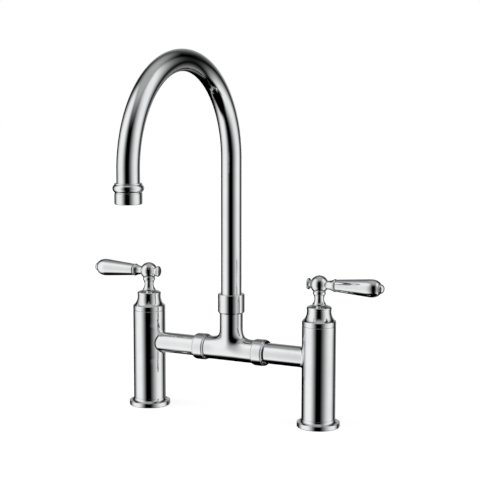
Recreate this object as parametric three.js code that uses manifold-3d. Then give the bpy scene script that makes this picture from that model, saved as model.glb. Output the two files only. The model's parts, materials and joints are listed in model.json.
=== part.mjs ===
// A bridge kitchen faucet: two deck pillars with quarter-turn lever valves, a bridge with a tee
// between them, and a gooseneck spout that swivels on the tee.
// Millimetres, +Z up. The origin lies on the deck midway between the pillars, the bridge runs
// along X and the spout reaches towards -Y.
import * as THREE from "three";
import { mergeVertices } from "three/addons/utils/BufferGeometryUtils.js";
import Module from "manifold-3d";

const wasm = await Module();
wasm.setup();

// Layout
const PILLAR_SPACING = 203.2; // 8 inches between the deck holes
const BRIDGE_HEIGHT = 71.1;
const SPOUT_REACH = 202.1;
const SPOUT_ARC_HEIGHT = 274.3; // deck to the middle of the gooseneck's half circle
const SPOUT_DROP = 30.5; // middle of the half circle down to the mouth

// Fits
const SEAT = 0.1; // between faces that bear on each other
const FIT = 0.3; // radial, between a bore and what goes in it
const EDGE = 0.35; // broken edge on turned pieces

// Base flange and its seal
const FLANGE_RADIUS = 22.3;
const FLANGE_RIM = 5; // height of the upright rim
const FLANGE_COVE = 3.6; // height of the cove that runs up to the column
const SEAL_INNER = 16.6;
const SEAL_WIDTH = 3.2;
const SEAL_DEPTH = 2;

// Pillar
const PILLAR_RADIUS = 17.5;
const PILLAR_HEIGHT = 105.6; // deck to the seam under the bonnet
const SPIGOT_RADIUS = 15.4; // foot of the pillar, inside the flange
const SPIGOT_LIFT = 0.4; // of the foot above the deck
const INLET_RADIUS = 11.6;
const INLET_DEPTH = 16;
const WATERWAY_RADIUS = 5.5;
const VALVE_SEAT_HEIGHT = 60;
const CHAMBER_RADIUS = 11.2;
const ARM_RADIUS = 10.9;
const ARM_BORE = 6.5;
const ARM_FILLET = 2.5;

// Bonnet, heights above the seam
const BONNET_BAND = 5.2;
const BONNET_FLARE = 2.1; // tight part of the trumpet, above the band
const BONNET_NECK_START = 13.7;
const BONNET_NECK_END = 16.6;
const BONNET_LIP_START = 18;
const BONNET_LIP_TOP = 19.9;
const BONNET_CROWN = 21.8;
const BONNET_NECK_RADIUS = 12.55;
const BONNET_LIP_RADIUS = 12.75;
const BONNET_WALL = 2.3;
const BONNET_TOP_WALL = 3.4;
const BONNET_THREAD_LENGTH = 9.4;
const BONNET_THREAD_RADIUS = 13.3;

// Cartridge
const CARTRIDGE_SEAL_HEIGHT = 2;
const CARTRIDGE_SEAL_BORE = 6.2;
const DISC_RADIUS = 8.8;
const DISC_THICKNESS = 3;
const PORT_INNER = 2.4;
const PORT_OUTER = 6.9;
const PORT_HALF_ANGLE = 38; // degrees
const HEX_HEIGHT = 7;
const HEX_RADIUS = 11; // over the corners
const CARTRIDGE_NECK_RADIUS = 7.6;
const CARTRIDGE_NECK_HEIGHT = 15;
const WINDOW_HEIGHT = 5;
const WINDOW_WIDTH = 8;

// Spindle
const SPINDLE_RADIUS = 4.5;
const SPLINE_RADIUS = 3.6;
const DRIVE_PLATE = 3;
const SPINDLE_SEAL_RISE = 12; // drive plate to the O-ring
const ORING_SECTION = 0.7; // radius of the rubber
const ORING_DEPTH = 0.6; // of the rubber's middle under the spindle's surface
const CLIP_THICKNESS = 1;
const CLIP_RADIUS = 6.2;
const CLIP_GROOVE = 0.8;
const CLIP_GAP_ANGLE = 60; // degrees

// Lever hub, heights above its foot
const HUB_FOOT_RADIUS = 7;
const HUB_FOOT_EDGE = 0.9;
const HUB_WAIST_RADIUS = 4.95;
const HUB_WAIST_RISE = 5.6;
const HUB_RING_RADIUS = 6.55;
const HUB_RING_START = 10.4;
const HUB_RING_TOP = 13.6;
const HUB_NECK_RADIUS = 6.2; // where the ball begins
const BALL_RADIUS = 9.4;
const BALL_RISE = 20.85;

// Lever, places from the middle of the ball
const LEVER_BACK_ANGLE = 1.4; // degrees that a closed lever points behind the bridge's line
const ROD_SOCKET_WALL = 1.3; // between the spline's bore and the rod's socket
const ROD_TENON_RADIUS = 3;
const ROD_NECK_RADIUS = 4.6;
const BEAD_RADIUS = 6.9;
const BEAD_PLACE = 17.2;
const BEAD_HALF = 1.3;
const GRIP_START = 18.8;
const GRIP_SWELL_PLACE = 56.5;
const GRIP_END = 65.1;
const GRIP_ROOT_RADIUS = 6.3;
const GRIP_SWELL_RADIUS = 9.3;
const GRIP_END_RADIUS = 6;
const ROD_RADIUS = 2.5; // inside the grip
const FINIAL_RADIUS = 5.1;
const FINIAL_LENGTH = 4.8;
const FINIAL_HOLE = 3.2;

// Button opposite the lever
const BUTTON_RADIUS = 5.9;
const BUTTON_NECK_RADIUS = 3.4;
const BUTTON_RIM_PLACE = 11.8;
const BUTTON_DOME = 1.6;
const BUTTON_STEM_RADIUS = 2;
const GRUB_LENGTH = 3.2;
const GRUB_SOCKET_RADIUS = 1;
const GRUB_SOCKET_DEPTH = 1.6;

// Unions on the bridge
const UNION_PLACE = 35; // middle of each nut from the middle of the bridge
const UNION_LENGTH = 11;
const UNION_RADIUS = 14.05;
const UNION_BEAD_LENGTH = 1.5; // small ring at each end of a nut
const UNION_BEAD_RADIUS = 13.3;
const UNION_GROOVE = 0.3;
const UNION_EDGE = 0.6;
const UNION_WASHER = 1.5;
const TAIL_FLANGE = 2.2; // collar at the end of a pillar's arm

// Tee
const TEE_RADIUS = 12.3;
const TEE_BORE = 7.5;
const TEE_FILLET = 6;
const BRANCH_LENGTH = 49.9; // middle of the run to the top of the branch
const SOCKET_DEPTH = 29.3; // of the swivel socket, down from the top of the branch

// Swivel
const NUT_RADIUS = 14.15;
const NUT_OVERLAP = 10.6; // of the nut down the branch
const NUT_RISE = 10.1; // of the nut above the branch
const NUT_CHAMFER = 1.5;
const NUT_EDGE = 0.6;
const THRUST_WASHER = 0.9;
const COLLAR_THICKNESS = 1.6;
const COLLAR_RADIUS = 11.3;
const RETAINER_THICKNESS = 1.4;
const SWIVEL_RADIUS = 9;
const SWIVEL_BORE = 6.8;
const SWIVEL_SLEEVE = 9; // length inside the tube
const SWIVEL_SEALS = [6, 14]; // heights above the spigot's end

// Spout tube
const TUBE_RADIUS = 10.8;
const TUBE_WALL = 1.3;

// Outlet, heights above the mouth
const SLEEVE_RADIUS = 12.78;
const SLEEVE_HEIGHT = 10.1;
const SLEEVE_EDGE = 0.9;
const GROOVE_RADIUS = 12.45;
const OUTLET_BEAD_START = 11.2;
const OUTLET_BEAD_MIDDLE = 14.7;
const OUTLET_BEAD_END = 18.1;
const OUTLET_BEAD_RADIUS = 14.5;
const SHOULDER_RADIUS = 12.8;
const SHOULDER_TOP = 19.4;
const HOUSING_SPIGOT_RADIUS = 11.3;
const HOUSING_SPIGOT_HEIGHT = 3.2;
const COLLAR_WEB = 1; // between the housing's spigot and the tube's end
const COLLAR_WEB_BORE = 9.2;
const MOUTH_RADIUS = 8.7;
const MOUTH_LIP = 2.4;
const INSERT_RADIUS = 9.6;
const INSERT_THICKNESS = 8.2;
const INSERT_HOLE_RADIUS = 0.95;
const INSERT_HOLE_PITCH = 3.2; // between the rings of holes
const INSERT_RING_HOLES = [1, 5, 10]; // in each ring, from the middle out
const AERATOR_WASHER = 2;
const AERATOR_WASHER_BORE = 7;

// Facets
const SIDES = 16; // round pieces that show
const LEVER_SIDES = 14; // ball and grip of a lever
const INNER_SIDES = 14; // discs, split rings and brass inside
const SMALL_SIDES = 10; // slim pieces, the spigot and most seals
const CURVE_STEPS = 3; // per curve of a profile, twice as many per arc
const RUBBER_SIDES = 6;
const ARC_STEPS = 20; // along the gooseneck's half circle
const FILLET_STEPS = 3;
const FILLET_TUCK = 0.985; // a fillet's edges dip this far under the flats of its neighbours
const MERGE_DISTANCE = 1e-4;

// Places that follow from the sizes above
const HALF_SPACING = PILLAR_SPACING / 2;
const FLANGE_HEIGHT = FLANGE_RIM + FLANGE_COVE;
const CROWN_HEIGHT = PILLAR_HEIGHT + BONNET_CROWN;
const HUB_BASE = CROWN_HEIGHT + FIT;
const LEVER_HEIGHT = HUB_BASE + BALL_RISE;
const HEX_BASE = PILLAR_HEIGHT - BONNET_THREAD_LENGTH + SEAT;
const CARTRIDGE_BASE = VALVE_SEAT_HEIGHT + SEAT + CARTRIDGE_SEAL_HEIGHT + SEAT;
const MOVING_DISC_BASE = CARTRIDGE_BASE + DISC_THICKNESS + SEAT;
const DRIVE_BASE = MOVING_DISC_BASE + DISC_THICKNESS + SEAT;
const DRIVE_TOP = DRIVE_BASE + DRIVE_PLATE;
const CARTRIDGE_TOP = HEX_BASE + HEX_HEIGHT + CARTRIDGE_NECK_HEIGHT;
const SPLINE_BORE = SPLINE_RADIUS + FIT;
const GRUB_RADIUS = BUTTON_STEM_RADIUS;
const SPINDLE_TOP = LEVER_HEIGHT + GRUB_RADIUS + FIT;
const GRUB_START = SPLINE_RADIUS + SEAT;
const BUTTON_START = GRUB_START + GRUB_LENGTH + SEAT;
const ROD_START = SPLINE_BORE + ROD_SOCKET_WALL + SEAT;
const TEE_END = UNION_PLACE - UNION_WASHER / 2 - SEAT;
const ARM_TAIL = UNION_PLACE + UNION_WASHER / 2 + SEAT;
const TAIL_SHOULDER = ARM_TAIL + TAIL_FLANGE + SEAT;
const BRANCH_TOP = BRIDGE_HEIGHT + BRANCH_LENGTH;
const SOCKET_BOTTOM = BRANCH_TOP - SOCKET_DEPTH;
const SOCKET_RADIUS = SWIVEL_RADIUS + FIT;
const NUT_BOTTOM = BRANCH_TOP - NUT_OVERLAP;
const NUT_TOP = BRANCH_TOP + NUT_RISE;
const SPIGOT_BASE = SOCKET_BOTTOM + FIT;
const COLLAR_BASE = BRANCH_TOP + SEAT + THRUST_WASHER + SEAT;
const COLLAR_TOP = COLLAR_BASE + COLLAR_THICKNESS;
const RETAINER_BASE = COLLAR_TOP + SEAT;
const LIP_BASE = RETAINER_BASE + RETAINER_THICKNESS + SEAT;
const TUBE_BASE = COLLAR_TOP + SEAT;
const TUBE_BORE = TUBE_RADIUS - TUBE_WALL;
const MOUTH_HEIGHT = SPOUT_ARC_HEIGHT - SPOUT_DROP;
const SPIGOT_TOP = SLEEVE_HEIGHT + HOUSING_SPIGOT_HEIGHT;
const WEB_TOP = SPIGOT_TOP + SEAT + COLLAR_WEB;
const TUBE_END = WEB_TOP + SEAT;
const INSERT_TOP = MOUTH_LIP + SEAT + INSERT_THICKNESS;
const QUARTER_TURN = Math.PI / 2;

// Finishes
const CHROME = { color: 0xd9dbdd, roughness: 0.06, metalness: 1 };
const BRASS = { color: 0xc8a24a, roughness: 0.35, metalness: 1 };
const CERAMIC = { color: 0xe9e6df, roughness: 0.4, metalness: 0 };
const RUBBER = { color: 0x1b1b1c, roughness: 0.8, metalness: 0 };
const NYLON = { color: 0xdedfdc, roughness: 0.5, metalness: 0 };

// Named mesh with a finish of its own.
function piece(name, geometry, finish) {
  const mesh = new THREE.Mesh(geometry, new THREE.MeshStandardMaterial(finish));
  mesh.name = name;
  return mesh;
}

// Closed geometry as a solid for joining and cutting.
function solidOf(geometry) {
  const bare = geometry.clone();
  bare.deleteAttribute("normal");
  bare.deleteAttribute("uv");
  const merged = mergeVertices(bare, MERGE_DISTANCE);
  return new wasm.Manifold(
    new wasm.Mesh({
      numProp: 3,
      vertProperties: merged.attributes.position.array,
      triVerts: new Uint32Array(merged.index.array),
    }),
  );
}

// Solid back to a geometry that a mesh can show.
function geometryOf(solid) {
  const mesh = solid.getMesh();
  const geometry = new THREE.BufferGeometry();
  geometry.setAttribute("position", new THREE.BufferAttribute(mesh.vertProperties, 3));
  geometry.setIndex(new THREE.BufferAttribute(mesh.triVerts, 1));
  geometry.computeVertexNormals();
  return geometry;
}

// First geometry with the others joined to it.
function joined(first, ...others) {
  return geometryOf(others.reduce((solid, other) => solid.add(solidOf(other)), solidOf(first)));
}

// First geometry with the others cut from it.
function cut(first, ...tools) {
  return geometryOf(tools.reduce((solid, tool) => solid.subtract(solidOf(tool)), solidOf(first)));
}

// Revolves a profile of (radius, height), drawn counterclockwise, about +Z.
function turned(profile, sides = SIDES) {
  return new THREE.LatheGeometry(profile.getPoints(CURVE_STEPS), sides).rotateX(QUARTER_TURN);
}

// Turned piece laid along +X.
function alongX(geometry) {
  return geometry.rotateY(QUARTER_TURN);
}

function ring(inner, outer, bottom, top, sides = SMALL_SIDES) {
  const profile = new THREE.Path()
    .moveTo(inner, bottom)
    .lineTo(outer, bottom)
    .lineTo(outer, top)
    .lineTo(inner, top)
    .closePath();
  return turned(profile, sides);
}

function plug(radius, bottom, top, sides = INNER_SIDES) {
  const profile = new THREE.Path()
    .moveTo(0, bottom)
    .lineTo(radius, bottom)
    .lineTo(radius, top)
    .lineTo(0, top);
  return turned(profile, sides);
}

// Rubber ring whose section's middle runs at the given radius and height.
function oRing(radius, height) {
  const profile = new THREE.Path();
  for (let i = 0; i <= RUBBER_SIDES; i++) {
    const angle = (i / RUBBER_SIDES) * 2 * Math.PI;
    const r = radius + ORING_SECTION * Math.cos(angle);
    const z = height + ORING_SECTION * Math.sin(angle);
    if (i === 0) profile.moveTo(r, z);
    else profile.lineTo(r, z);
  }
  return turned(profile, SMALL_SIDES);
}

// Open spring ring, flat, standing on the given height.
function splitRing(inner, outer, bottom, thickness) {
  const half = THREE.MathUtils.degToRad(CLIP_GAP_ANGLE / 2);
  const outline = new THREE.Path()
    .absarc(0, 0, outer, half, 2 * Math.PI - half, false)
    .absarc(0, 0, inner, 2 * Math.PI - half, half, true);
  const shape = new THREE.Shape(outline.getPoints(INNER_SIDES / 2));
  const options = { depth: thickness, bevelEnabled: false };
  return new THREE.ExtrudeGeometry(shape, options).translate(0, 0, bottom);
}

// Fillet that a rolling ball leaves between a post along +Z and a tube along +X, both through the
// origin. The ball's middle, its two contacts and the arc between them follow from the radii. Each
// section closes on a point inside both bodies, so that the ring can be joined to them.
function rollingFillet(post, tube, ball, from, to, steps) {
  const closed = to - from > 2 * Math.PI - 0.001;
  const rings = [];
  for (let i = 0; i < steps + (closed ? 0 : 1); i++) {
    const angle = from + ((to - from) * i) / steps;
    const across = (tube + ball) * Math.cos(angle);
    const middle = new THREE.Vector3(
      Math.sqrt((post + ball) ** 2 - across ** 2),
      across,
      (tube + ball) * Math.sin(angle),
    );
    const postShare = post / (post + ball);
    const tubeShare = tube / (tube + ball);
    const onPost = middle.clone().multiply(new THREE.Vector3(postShare, postShare, 1));
    const onTube = middle.clone().multiply(new THREE.Vector3(1, tubeShare, tubeShare));
    const inside = new THREE.Vector3(0.8 * onPost.x, 0.85 * onTube.y, 0.85 * onTube.z);
    const skin = arcAround(middle, onTube, onPost);
    skin[0].multiply(new THREE.Vector3(1, FILLET_TUCK, FILLET_TUCK));
    skin[FILLET_STEPS].multiply(new THREE.Vector3(FILLET_TUCK, FILLET_TUCK, 1));
    rings.push([...skin, inside]);
  }
  return ringMesh(rings, closed);
}

// Points from one contact to the other along the ball's surface.
function arcAround(middle, start, end) {
  const from = start.clone().sub(middle);
  const to = end.clone().sub(middle);
  const angle = from.angleTo(to);
  const points = [];
  for (let i = 0; i <= FILLET_STEPS; i++) {
    const share = i / FILLET_STEPS;
    const a = angle > 1e-6 ? Math.sin((1 - share) * angle) / Math.sin(angle) : 1 - share;
    const b = angle > 1e-6 ? Math.sin(share * angle) / Math.sin(angle) : share;
    points.push(middle.clone().addScaledVector(from, a).addScaledVector(to, b));
  }
  return points;
}

// Skin over a row of rings of equal length, closed on itself or by flat ends.
function ringMesh(rings, closed) {
  const size = rings[0].length;
  const index = [];
  const spans = closed ? rings.length : rings.length - 1;
  for (let i = 0; i < spans; i++) {
    const here = i * size;
    const next = ((i + 1) % rings.length) * size;
    for (let k = 0; k < size; k++) {
      const after = (k + 1) % size;
      index.push(here + k, next + after, next + k, here + k, here + after, next + after);
    }
  }
  if (!closed) {
    const last = spans * size;
    for (let k = 1; k < size - 1; k++) {
      index.push(0, k + 1, k, last, last + k, last + k + 1);
    }
  }
  const geometry = new THREE.BufferGeometry().setFromPoints(rings.flat());
  geometry.setIndex(index);
  geometry.computeVertexNormals();
  return geometry;
}

function baseFlange() {
  const profile = new THREE.Path()
    .moveTo(SPIGOT_RADIUS + FIT, 0)
    .lineTo(SEAL_INNER, 0)
    .lineTo(SEAL_INNER, SEAL_DEPTH + SEAT)
    .lineTo(SEAL_INNER + SEAL_WIDTH, SEAL_DEPTH + SEAT)
    .lineTo(SEAL_INNER + SEAL_WIDTH, 0)
    .lineTo(FLANGE_RADIUS - EDGE, 0)
    .lineTo(FLANGE_RADIUS, EDGE)
    .lineTo(FLANGE_RADIUS, FLANGE_RIM - EDGE)
    .lineTo(FLANGE_RADIUS - EDGE, FLANGE_RIM)
    .quadraticCurveTo(PILLAR_RADIUS + EDGE, FLANGE_RIM, PILLAR_RADIUS, FLANGE_HEIGHT)
    .lineTo(SPIGOT_RADIUS + FIT, FLANGE_HEIGHT)
    .closePath();
  return turned(profile);
}

function baseSeal() {
  return ring(SEAL_INNER + SEAT, SEAL_INNER + SEAL_WIDTH - SEAT, 0, SEAL_DEPTH, SIDES);
}

// Column and side arm in one casting; the arm points along +X.
function pillar() {
  const column = new THREE.Path()
    .moveTo(0, SPIGOT_LIFT)
    .lineTo(SPIGOT_RADIUS, SPIGOT_LIFT)
    .lineTo(SPIGOT_RADIUS, FLANGE_HEIGHT + SEAT)
    .lineTo(PILLAR_RADIUS, FLANGE_HEIGHT + SEAT)
    .lineTo(PILLAR_RADIUS, PILLAR_HEIGHT - EDGE)
    .lineTo(PILLAR_RADIUS - EDGE, PILLAR_HEIGHT)
    .lineTo(0, PILLAR_HEIGHT);
  const waterways = new THREE.Path()
    .moveTo(0, 0)
    .lineTo(INLET_RADIUS, 0)
    .lineTo(INLET_RADIUS, INLET_DEPTH)
    .lineTo(WATERWAY_RADIUS, INLET_DEPTH)
    .lineTo(WATERWAY_RADIUS, VALVE_SEAT_HEIGHT)
    .lineTo(CHAMBER_RADIUS, VALVE_SEAT_HEIGHT)
    .lineTo(CHAMBER_RADIUS, HEX_BASE - SEAT)
    .lineTo(BONNET_THREAD_RADIUS + FIT, HEX_BASE - SEAT)
    .lineTo(BONNET_THREAD_RADIUS + FIT, PILLAR_HEIGHT + EDGE)
    .lineTo(0, PILLAR_HEIGHT + EDGE);
  const armLength = HALF_SPACING - ARM_TAIL;
  const arm = new THREE.Path()
    .moveTo(0, 0)
    .lineTo(ARM_RADIUS, 0)
    .lineTo(ARM_RADIUS, armLength - TAIL_FLANGE)
    .lineTo(TEE_RADIUS, armLength - TAIL_FLANGE)
    .lineTo(TEE_RADIUS, armLength)
    .lineTo(0, armLength);
  const fillet = rollingFillet(PILLAR_RADIUS, ARM_RADIUS, ARM_FILLET, 0, 2 * Math.PI, SIDES);
  const armBore = plug(ARM_BORE, 0, armLength + EDGE);
  const body = joined(
    turned(column),
    alongX(turned(arm)).translate(0, 0, BRIDGE_HEIGHT),
    fillet.translate(0, 0, BRIDGE_HEIGHT),
  );
  return cut(
    body,
    turned(waterways),
    alongX(armBore).translate(0, 0, BRIDGE_HEIGHT),
  );
}

function bonnet() {
  const seam = PILLAR_HEIGHT + SEAT;
  const neckBore = BONNET_NECK_RADIUS - BONNET_WALL;
  const ceiling = CROWN_HEIGHT - BONNET_TOP_WALL;
  const profile = new THREE.Path()
    .moveTo(HEX_RADIUS + FIT, HEX_BASE)
    .lineTo(BONNET_THREAD_RADIUS, HEX_BASE)
    .lineTo(BONNET_THREAD_RADIUS, seam)
    .lineTo(PILLAR_RADIUS - EDGE, seam)
    .lineTo(PILLAR_RADIUS, seam + EDGE)
    .lineTo(PILLAR_RADIUS, PILLAR_HEIGHT + BONNET_BAND)
    .quadraticCurveTo(
      BONNET_NECK_RADIUS + EDGE,
      PILLAR_HEIGHT + BONNET_BAND + BONNET_FLARE,
      BONNET_NECK_RADIUS,
      PILLAR_HEIGHT + BONNET_NECK_START,
    )
    .lineTo(BONNET_NECK_RADIUS, PILLAR_HEIGHT + BONNET_NECK_END)
    .lineTo(BONNET_LIP_RADIUS, PILLAR_HEIGHT + BONNET_LIP_START)
    .lineTo(BONNET_LIP_RADIUS, PILLAR_HEIGHT + BONNET_LIP_TOP - 2 * EDGE)
    .lineTo(BONNET_LIP_RADIUS - 2 * EDGE, PILLAR_HEIGHT + BONNET_LIP_TOP)
    .lineTo(HUB_FOOT_RADIUS + EDGE, CROWN_HEIGHT)
    .lineTo(SPINDLE_RADIUS + FIT, CROWN_HEIGHT)
    .lineTo(SPINDLE_RADIUS + FIT, ceiling)
    .lineTo(neckBore, ceiling)
    .lineTo(neckBore, PILLAR_HEIGHT + BONNET_BAND + BONNET_FLARE)
    .lineTo(HEX_RADIUS + FIT, PILLAR_HEIGHT + BONNET_BAND)
    .closePath();
  return turned(profile);
}

// Brass headwork: a skirt round the discs, a threaded body, a hexagon and the spindle's bearing.
function cartridgeBody() {
  const radius = CHAMBER_RADIUS - FIT;
  const outside = new THREE.Path()
    .moveTo(0, CARTRIDGE_BASE)
    .lineTo(radius, CARTRIDGE_BASE)
    .lineTo(radius, HEX_BASE)
    .lineTo(CARTRIDGE_NECK_RADIUS, HEX_BASE)
    .lineTo(CARTRIDGE_NECK_RADIUS, CARTRIDGE_TOP)
    .lineTo(0, CARTRIDGE_TOP);
  const inside = new THREE.Path()
    .moveTo(0, CARTRIDGE_BASE - EDGE)
    .lineTo(DISC_RADIUS + FIT, CARTRIDGE_BASE - EDGE)
    .lineTo(DISC_RADIUS + FIT, DRIVE_TOP + FIT)
    .lineTo(SPINDLE_RADIUS + FIT, DRIVE_TOP + FIT)
    .lineTo(SPINDLE_RADIUS + FIT, CARTRIDGE_TOP + EDGE)
    .lineTo(0, CARTRIDGE_TOP + EDGE);
  const hexagon = plug(HEX_RADIUS, HEX_BASE - EDGE, HEX_BASE + HEX_HEIGHT, 6);
  const windows = new THREE.BoxGeometry(3 * radius, WINDOW_WIDTH, WINDOW_HEIGHT);
  return cut(
    joined(turned(outside, INNER_SIDES), hexagon),
    turned(inside, INNER_SIDES),
    windows.translate(0, 0, DRIVE_BASE),
  );
}

function cartridgeSeal() {
  const bottom = VALVE_SEAT_HEIGHT + SEAT;
  const outer = CHAMBER_RADIUS - FIT;
  const top = bottom + CARTRIDGE_SEAL_HEIGHT;
  return ring(CARTRIDGE_SEAL_BORE, outer, bottom, top);
}

// Ceramic disc with two opposite ports; the pair is open when the ports line up.
function ceramicDisc(bottom, portDirection) {
  const half = THREE.MathUtils.degToRad(PORT_HALF_ANGLE);
  const tools = [0, Math.PI].map((turn) => {
    const outline = new THREE.Path()
      .absarc(0, 0, PORT_OUTER, -half, half, false)
      .absarc(0, 0, PORT_INNER, half, -half, true);
    const options = { depth: DISC_THICKNESS + 2 * EDGE, bevelEnabled: false };
    return new THREE.ExtrudeGeometry(new THREE.Shape(outline.getPoints(2)), options)
      .rotateZ(turn + portDirection)
      .translate(0, 0, bottom - EDGE);
  });
  return cut(plug(DISC_RADIUS, bottom, bottom + DISC_THICKNESS), ...tools);
}

function spindle() {
  const sealGroove = SPINDLE_RADIUS - ORING_DEPTH - ORING_SECTION;
  const seal = DRIVE_TOP + SPINDLE_SEAL_RISE;
  const clip = CARTRIDGE_TOP + SEAT;
  const clipBed = SPINDLE_RADIUS - CLIP_GROOVE;
  const profile = new THREE.Path()
    .moveTo(0, DRIVE_BASE)
    .lineTo(DISC_RADIUS, DRIVE_BASE)
    .lineTo(DISC_RADIUS, DRIVE_TOP)
    .lineTo(SPINDLE_RADIUS, DRIVE_TOP)
    .lineTo(SPINDLE_RADIUS, seal - ORING_SECTION - SEAT)
    .lineTo(sealGroove - SEAT, seal - ORING_SECTION - SEAT)
    .lineTo(sealGroove - SEAT, seal + ORING_SECTION + SEAT)
    .lineTo(SPINDLE_RADIUS, seal + ORING_SECTION + SEAT)
    .lineTo(SPINDLE_RADIUS, clip)
    .lineTo(clipBed, clip)
    .lineTo(clipBed, clip + CLIP_THICKNESS + 2 * SEAT)
    .lineTo(SPINDLE_RADIUS, clip + CLIP_THICKNESS + 2 * SEAT)
    .lineTo(SPINDLE_RADIUS, CROWN_HEIGHT)
    .lineTo(SPLINE_RADIUS, CROWN_HEIGHT)
    .lineTo(SPLINE_RADIUS, SPINDLE_TOP)
    .lineTo(0, SPINDLE_TOP);
  return turned(profile, SMALL_SIDES);
}

function spindleSeal() {
  return oRing(SPINDLE_RADIUS - ORING_DEPTH, DRIVE_TOP + SPINDLE_SEAL_RISE);
}

function spindleClip() {
  const inner = SPINDLE_RADIUS - CLIP_GROOVE + SEAT;
  return splitRing(inner, CLIP_RADIUS, CARTRIDGE_TOP + 2 * SEAT, CLIP_THICKNESS);
}

// Waisted skirt and ball, bored for the spline, the rod's tenon and the button's stem.
function leverHub() {
  const ballStart = -Math.acos(HUB_NECK_RADIUS / BALL_RADIUS);
  const profile = new THREE.Path()
    .moveTo(SPLINE_BORE, 0)
    .lineTo(HUB_FOOT_RADIUS, 0)
    .lineTo(HUB_FOOT_RADIUS, HUB_FOOT_EDGE)
    .quadraticCurveTo(HUB_WAIST_RADIUS, HUB_WAIST_RISE / 2, HUB_WAIST_RADIUS, HUB_WAIST_RISE)
    .quadraticCurveTo(
      HUB_WAIST_RADIUS,
      (HUB_WAIST_RISE + HUB_RING_START) / 2,
      HUB_RING_RADIUS - 2 * EDGE,
      HUB_RING_START,
    )
    .lineTo(HUB_RING_RADIUS, HUB_RING_START + 2 * EDGE)
    .lineTo(HUB_RING_RADIUS, HUB_RING_TOP - 2 * EDGE)
    .lineTo(HUB_NECK_RADIUS, HUB_RING_TOP)
    .absarc(0, BALL_RISE, BALL_RADIUS, ballStart, QUARTER_TURN, false)
    .lineTo(0, SPINDLE_TOP - HUB_BASE + FIT)
    .lineTo(SPLINE_BORE, SPINDLE_TOP - HUB_BASE + FIT)
    .closePath();
  const rodSocket = plug(ROD_TENON_RADIUS + FIT, ROD_START - SEAT, 2 * BALL_RADIUS, SMALL_SIDES);
  const stemSocket = plug(BUTTON_STEM_RADIUS + FIT, 0, 2 * BALL_RADIUS, SMALL_SIDES);
  return cut(
    turned(profile, LEVER_SIDES),
    alongX(rodSocket).translate(0, 0, BALL_RISE),
    alongX(stemSocket).rotateZ(Math.PI).translate(0, 0, BALL_RISE),
  ).translate(0, 0, HUB_BASE);
}

// Distance along the lever at which a bore of the given radius leaves the ball.
function ballFace(boreRadius) {
  return Math.sqrt(BALL_RADIUS ** 2 - boreRadius ** 2) + SEAT;
}

// Places a piece that was turned about +Z along the lever, at the ball's height.
function onLever(geometry) {
  return alongX(geometry).translate(0, 0, LEVER_HEIGHT);
}

// Tenon, cone, bead and the long rod that carries the grip and the finial.
function leverRod() {
  const neck = ballFace(ROD_TENON_RADIUS + FIT);
  const profile = new THREE.Path()
    .moveTo(0, ROD_START)
    .lineTo(ROD_TENON_RADIUS, ROD_START)
    .lineTo(ROD_TENON_RADIUS, neck)
    .lineTo(ROD_TENON_RADIUS + FIT, neck)
    .lineTo(ROD_NECK_RADIUS, ballFace(ROD_NECK_RADIUS))
    .quadraticCurveTo(
      ROD_NECK_RADIUS + EDGE,
      (neck + BEAD_PLACE) / 2,
      BEAD_RADIUS - 2 * EDGE,
      BEAD_PLACE - BEAD_HALF,
    )
    .quadraticCurveTo(
      BEAD_RADIUS + EDGE,
      BEAD_PLACE,
      BEAD_RADIUS - 2 * EDGE,
      BEAD_PLACE + BEAD_HALF,
    )
    .lineTo(ROD_RADIUS, GRIP_START - SEAT)
    .lineTo(ROD_RADIUS, GRIP_END + FINIAL_HOLE - SEAT)
    .lineTo(0, GRIP_END + FINIAL_HOLE - SEAT);
  return onLever(turned(profile, SMALL_SIDES));
}

function leverGrip() {
  const shoulder = GRIP_SWELL_RADIUS - EDGE;
  const profile = new THREE.Path()
    .moveTo(ROD_RADIUS + FIT, GRIP_START)
    .lineTo(GRIP_ROOT_RADIUS - EDGE, GRIP_START)
    .lineTo(GRIP_ROOT_RADIUS, GRIP_START + EDGE)
    .lineTo(shoulder, GRIP_SWELL_PLACE - 10 * EDGE)
    .quadraticCurveTo(
      GRIP_SWELL_RADIUS,
      GRIP_SWELL_PLACE - 4 * EDGE,
      GRIP_SWELL_RADIUS,
      GRIP_SWELL_PLACE,
    )
    .quadraticCurveTo(
      GRIP_SWELL_RADIUS,
      (GRIP_SWELL_PLACE + 2 * GRIP_END) / 3,
      GRIP_END_RADIUS,
      GRIP_END,
    )
    .lineTo(ROD_RADIUS + FIT, GRIP_END)
    .closePath();
  return onLever(turned(profile, LEVER_SIDES));
}

function leverFinial() {
  const base = GRIP_END + SEAT;
  const profile = new THREE.Path()
    .moveTo(ROD_RADIUS + FIT, base)
    .lineTo(FINIAL_RADIUS, base)
    .absellipse(0, base, FINIAL_RADIUS, FINIAL_LENGTH, 0, QUARTER_TURN, false)
    .lineTo(0, base + FINIAL_HOLE)
    .lineTo(ROD_RADIUS + FIT, base + FINIAL_HOLE)
    .closePath();
  return onLever(turned(profile, SMALL_SIDES));
}

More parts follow.
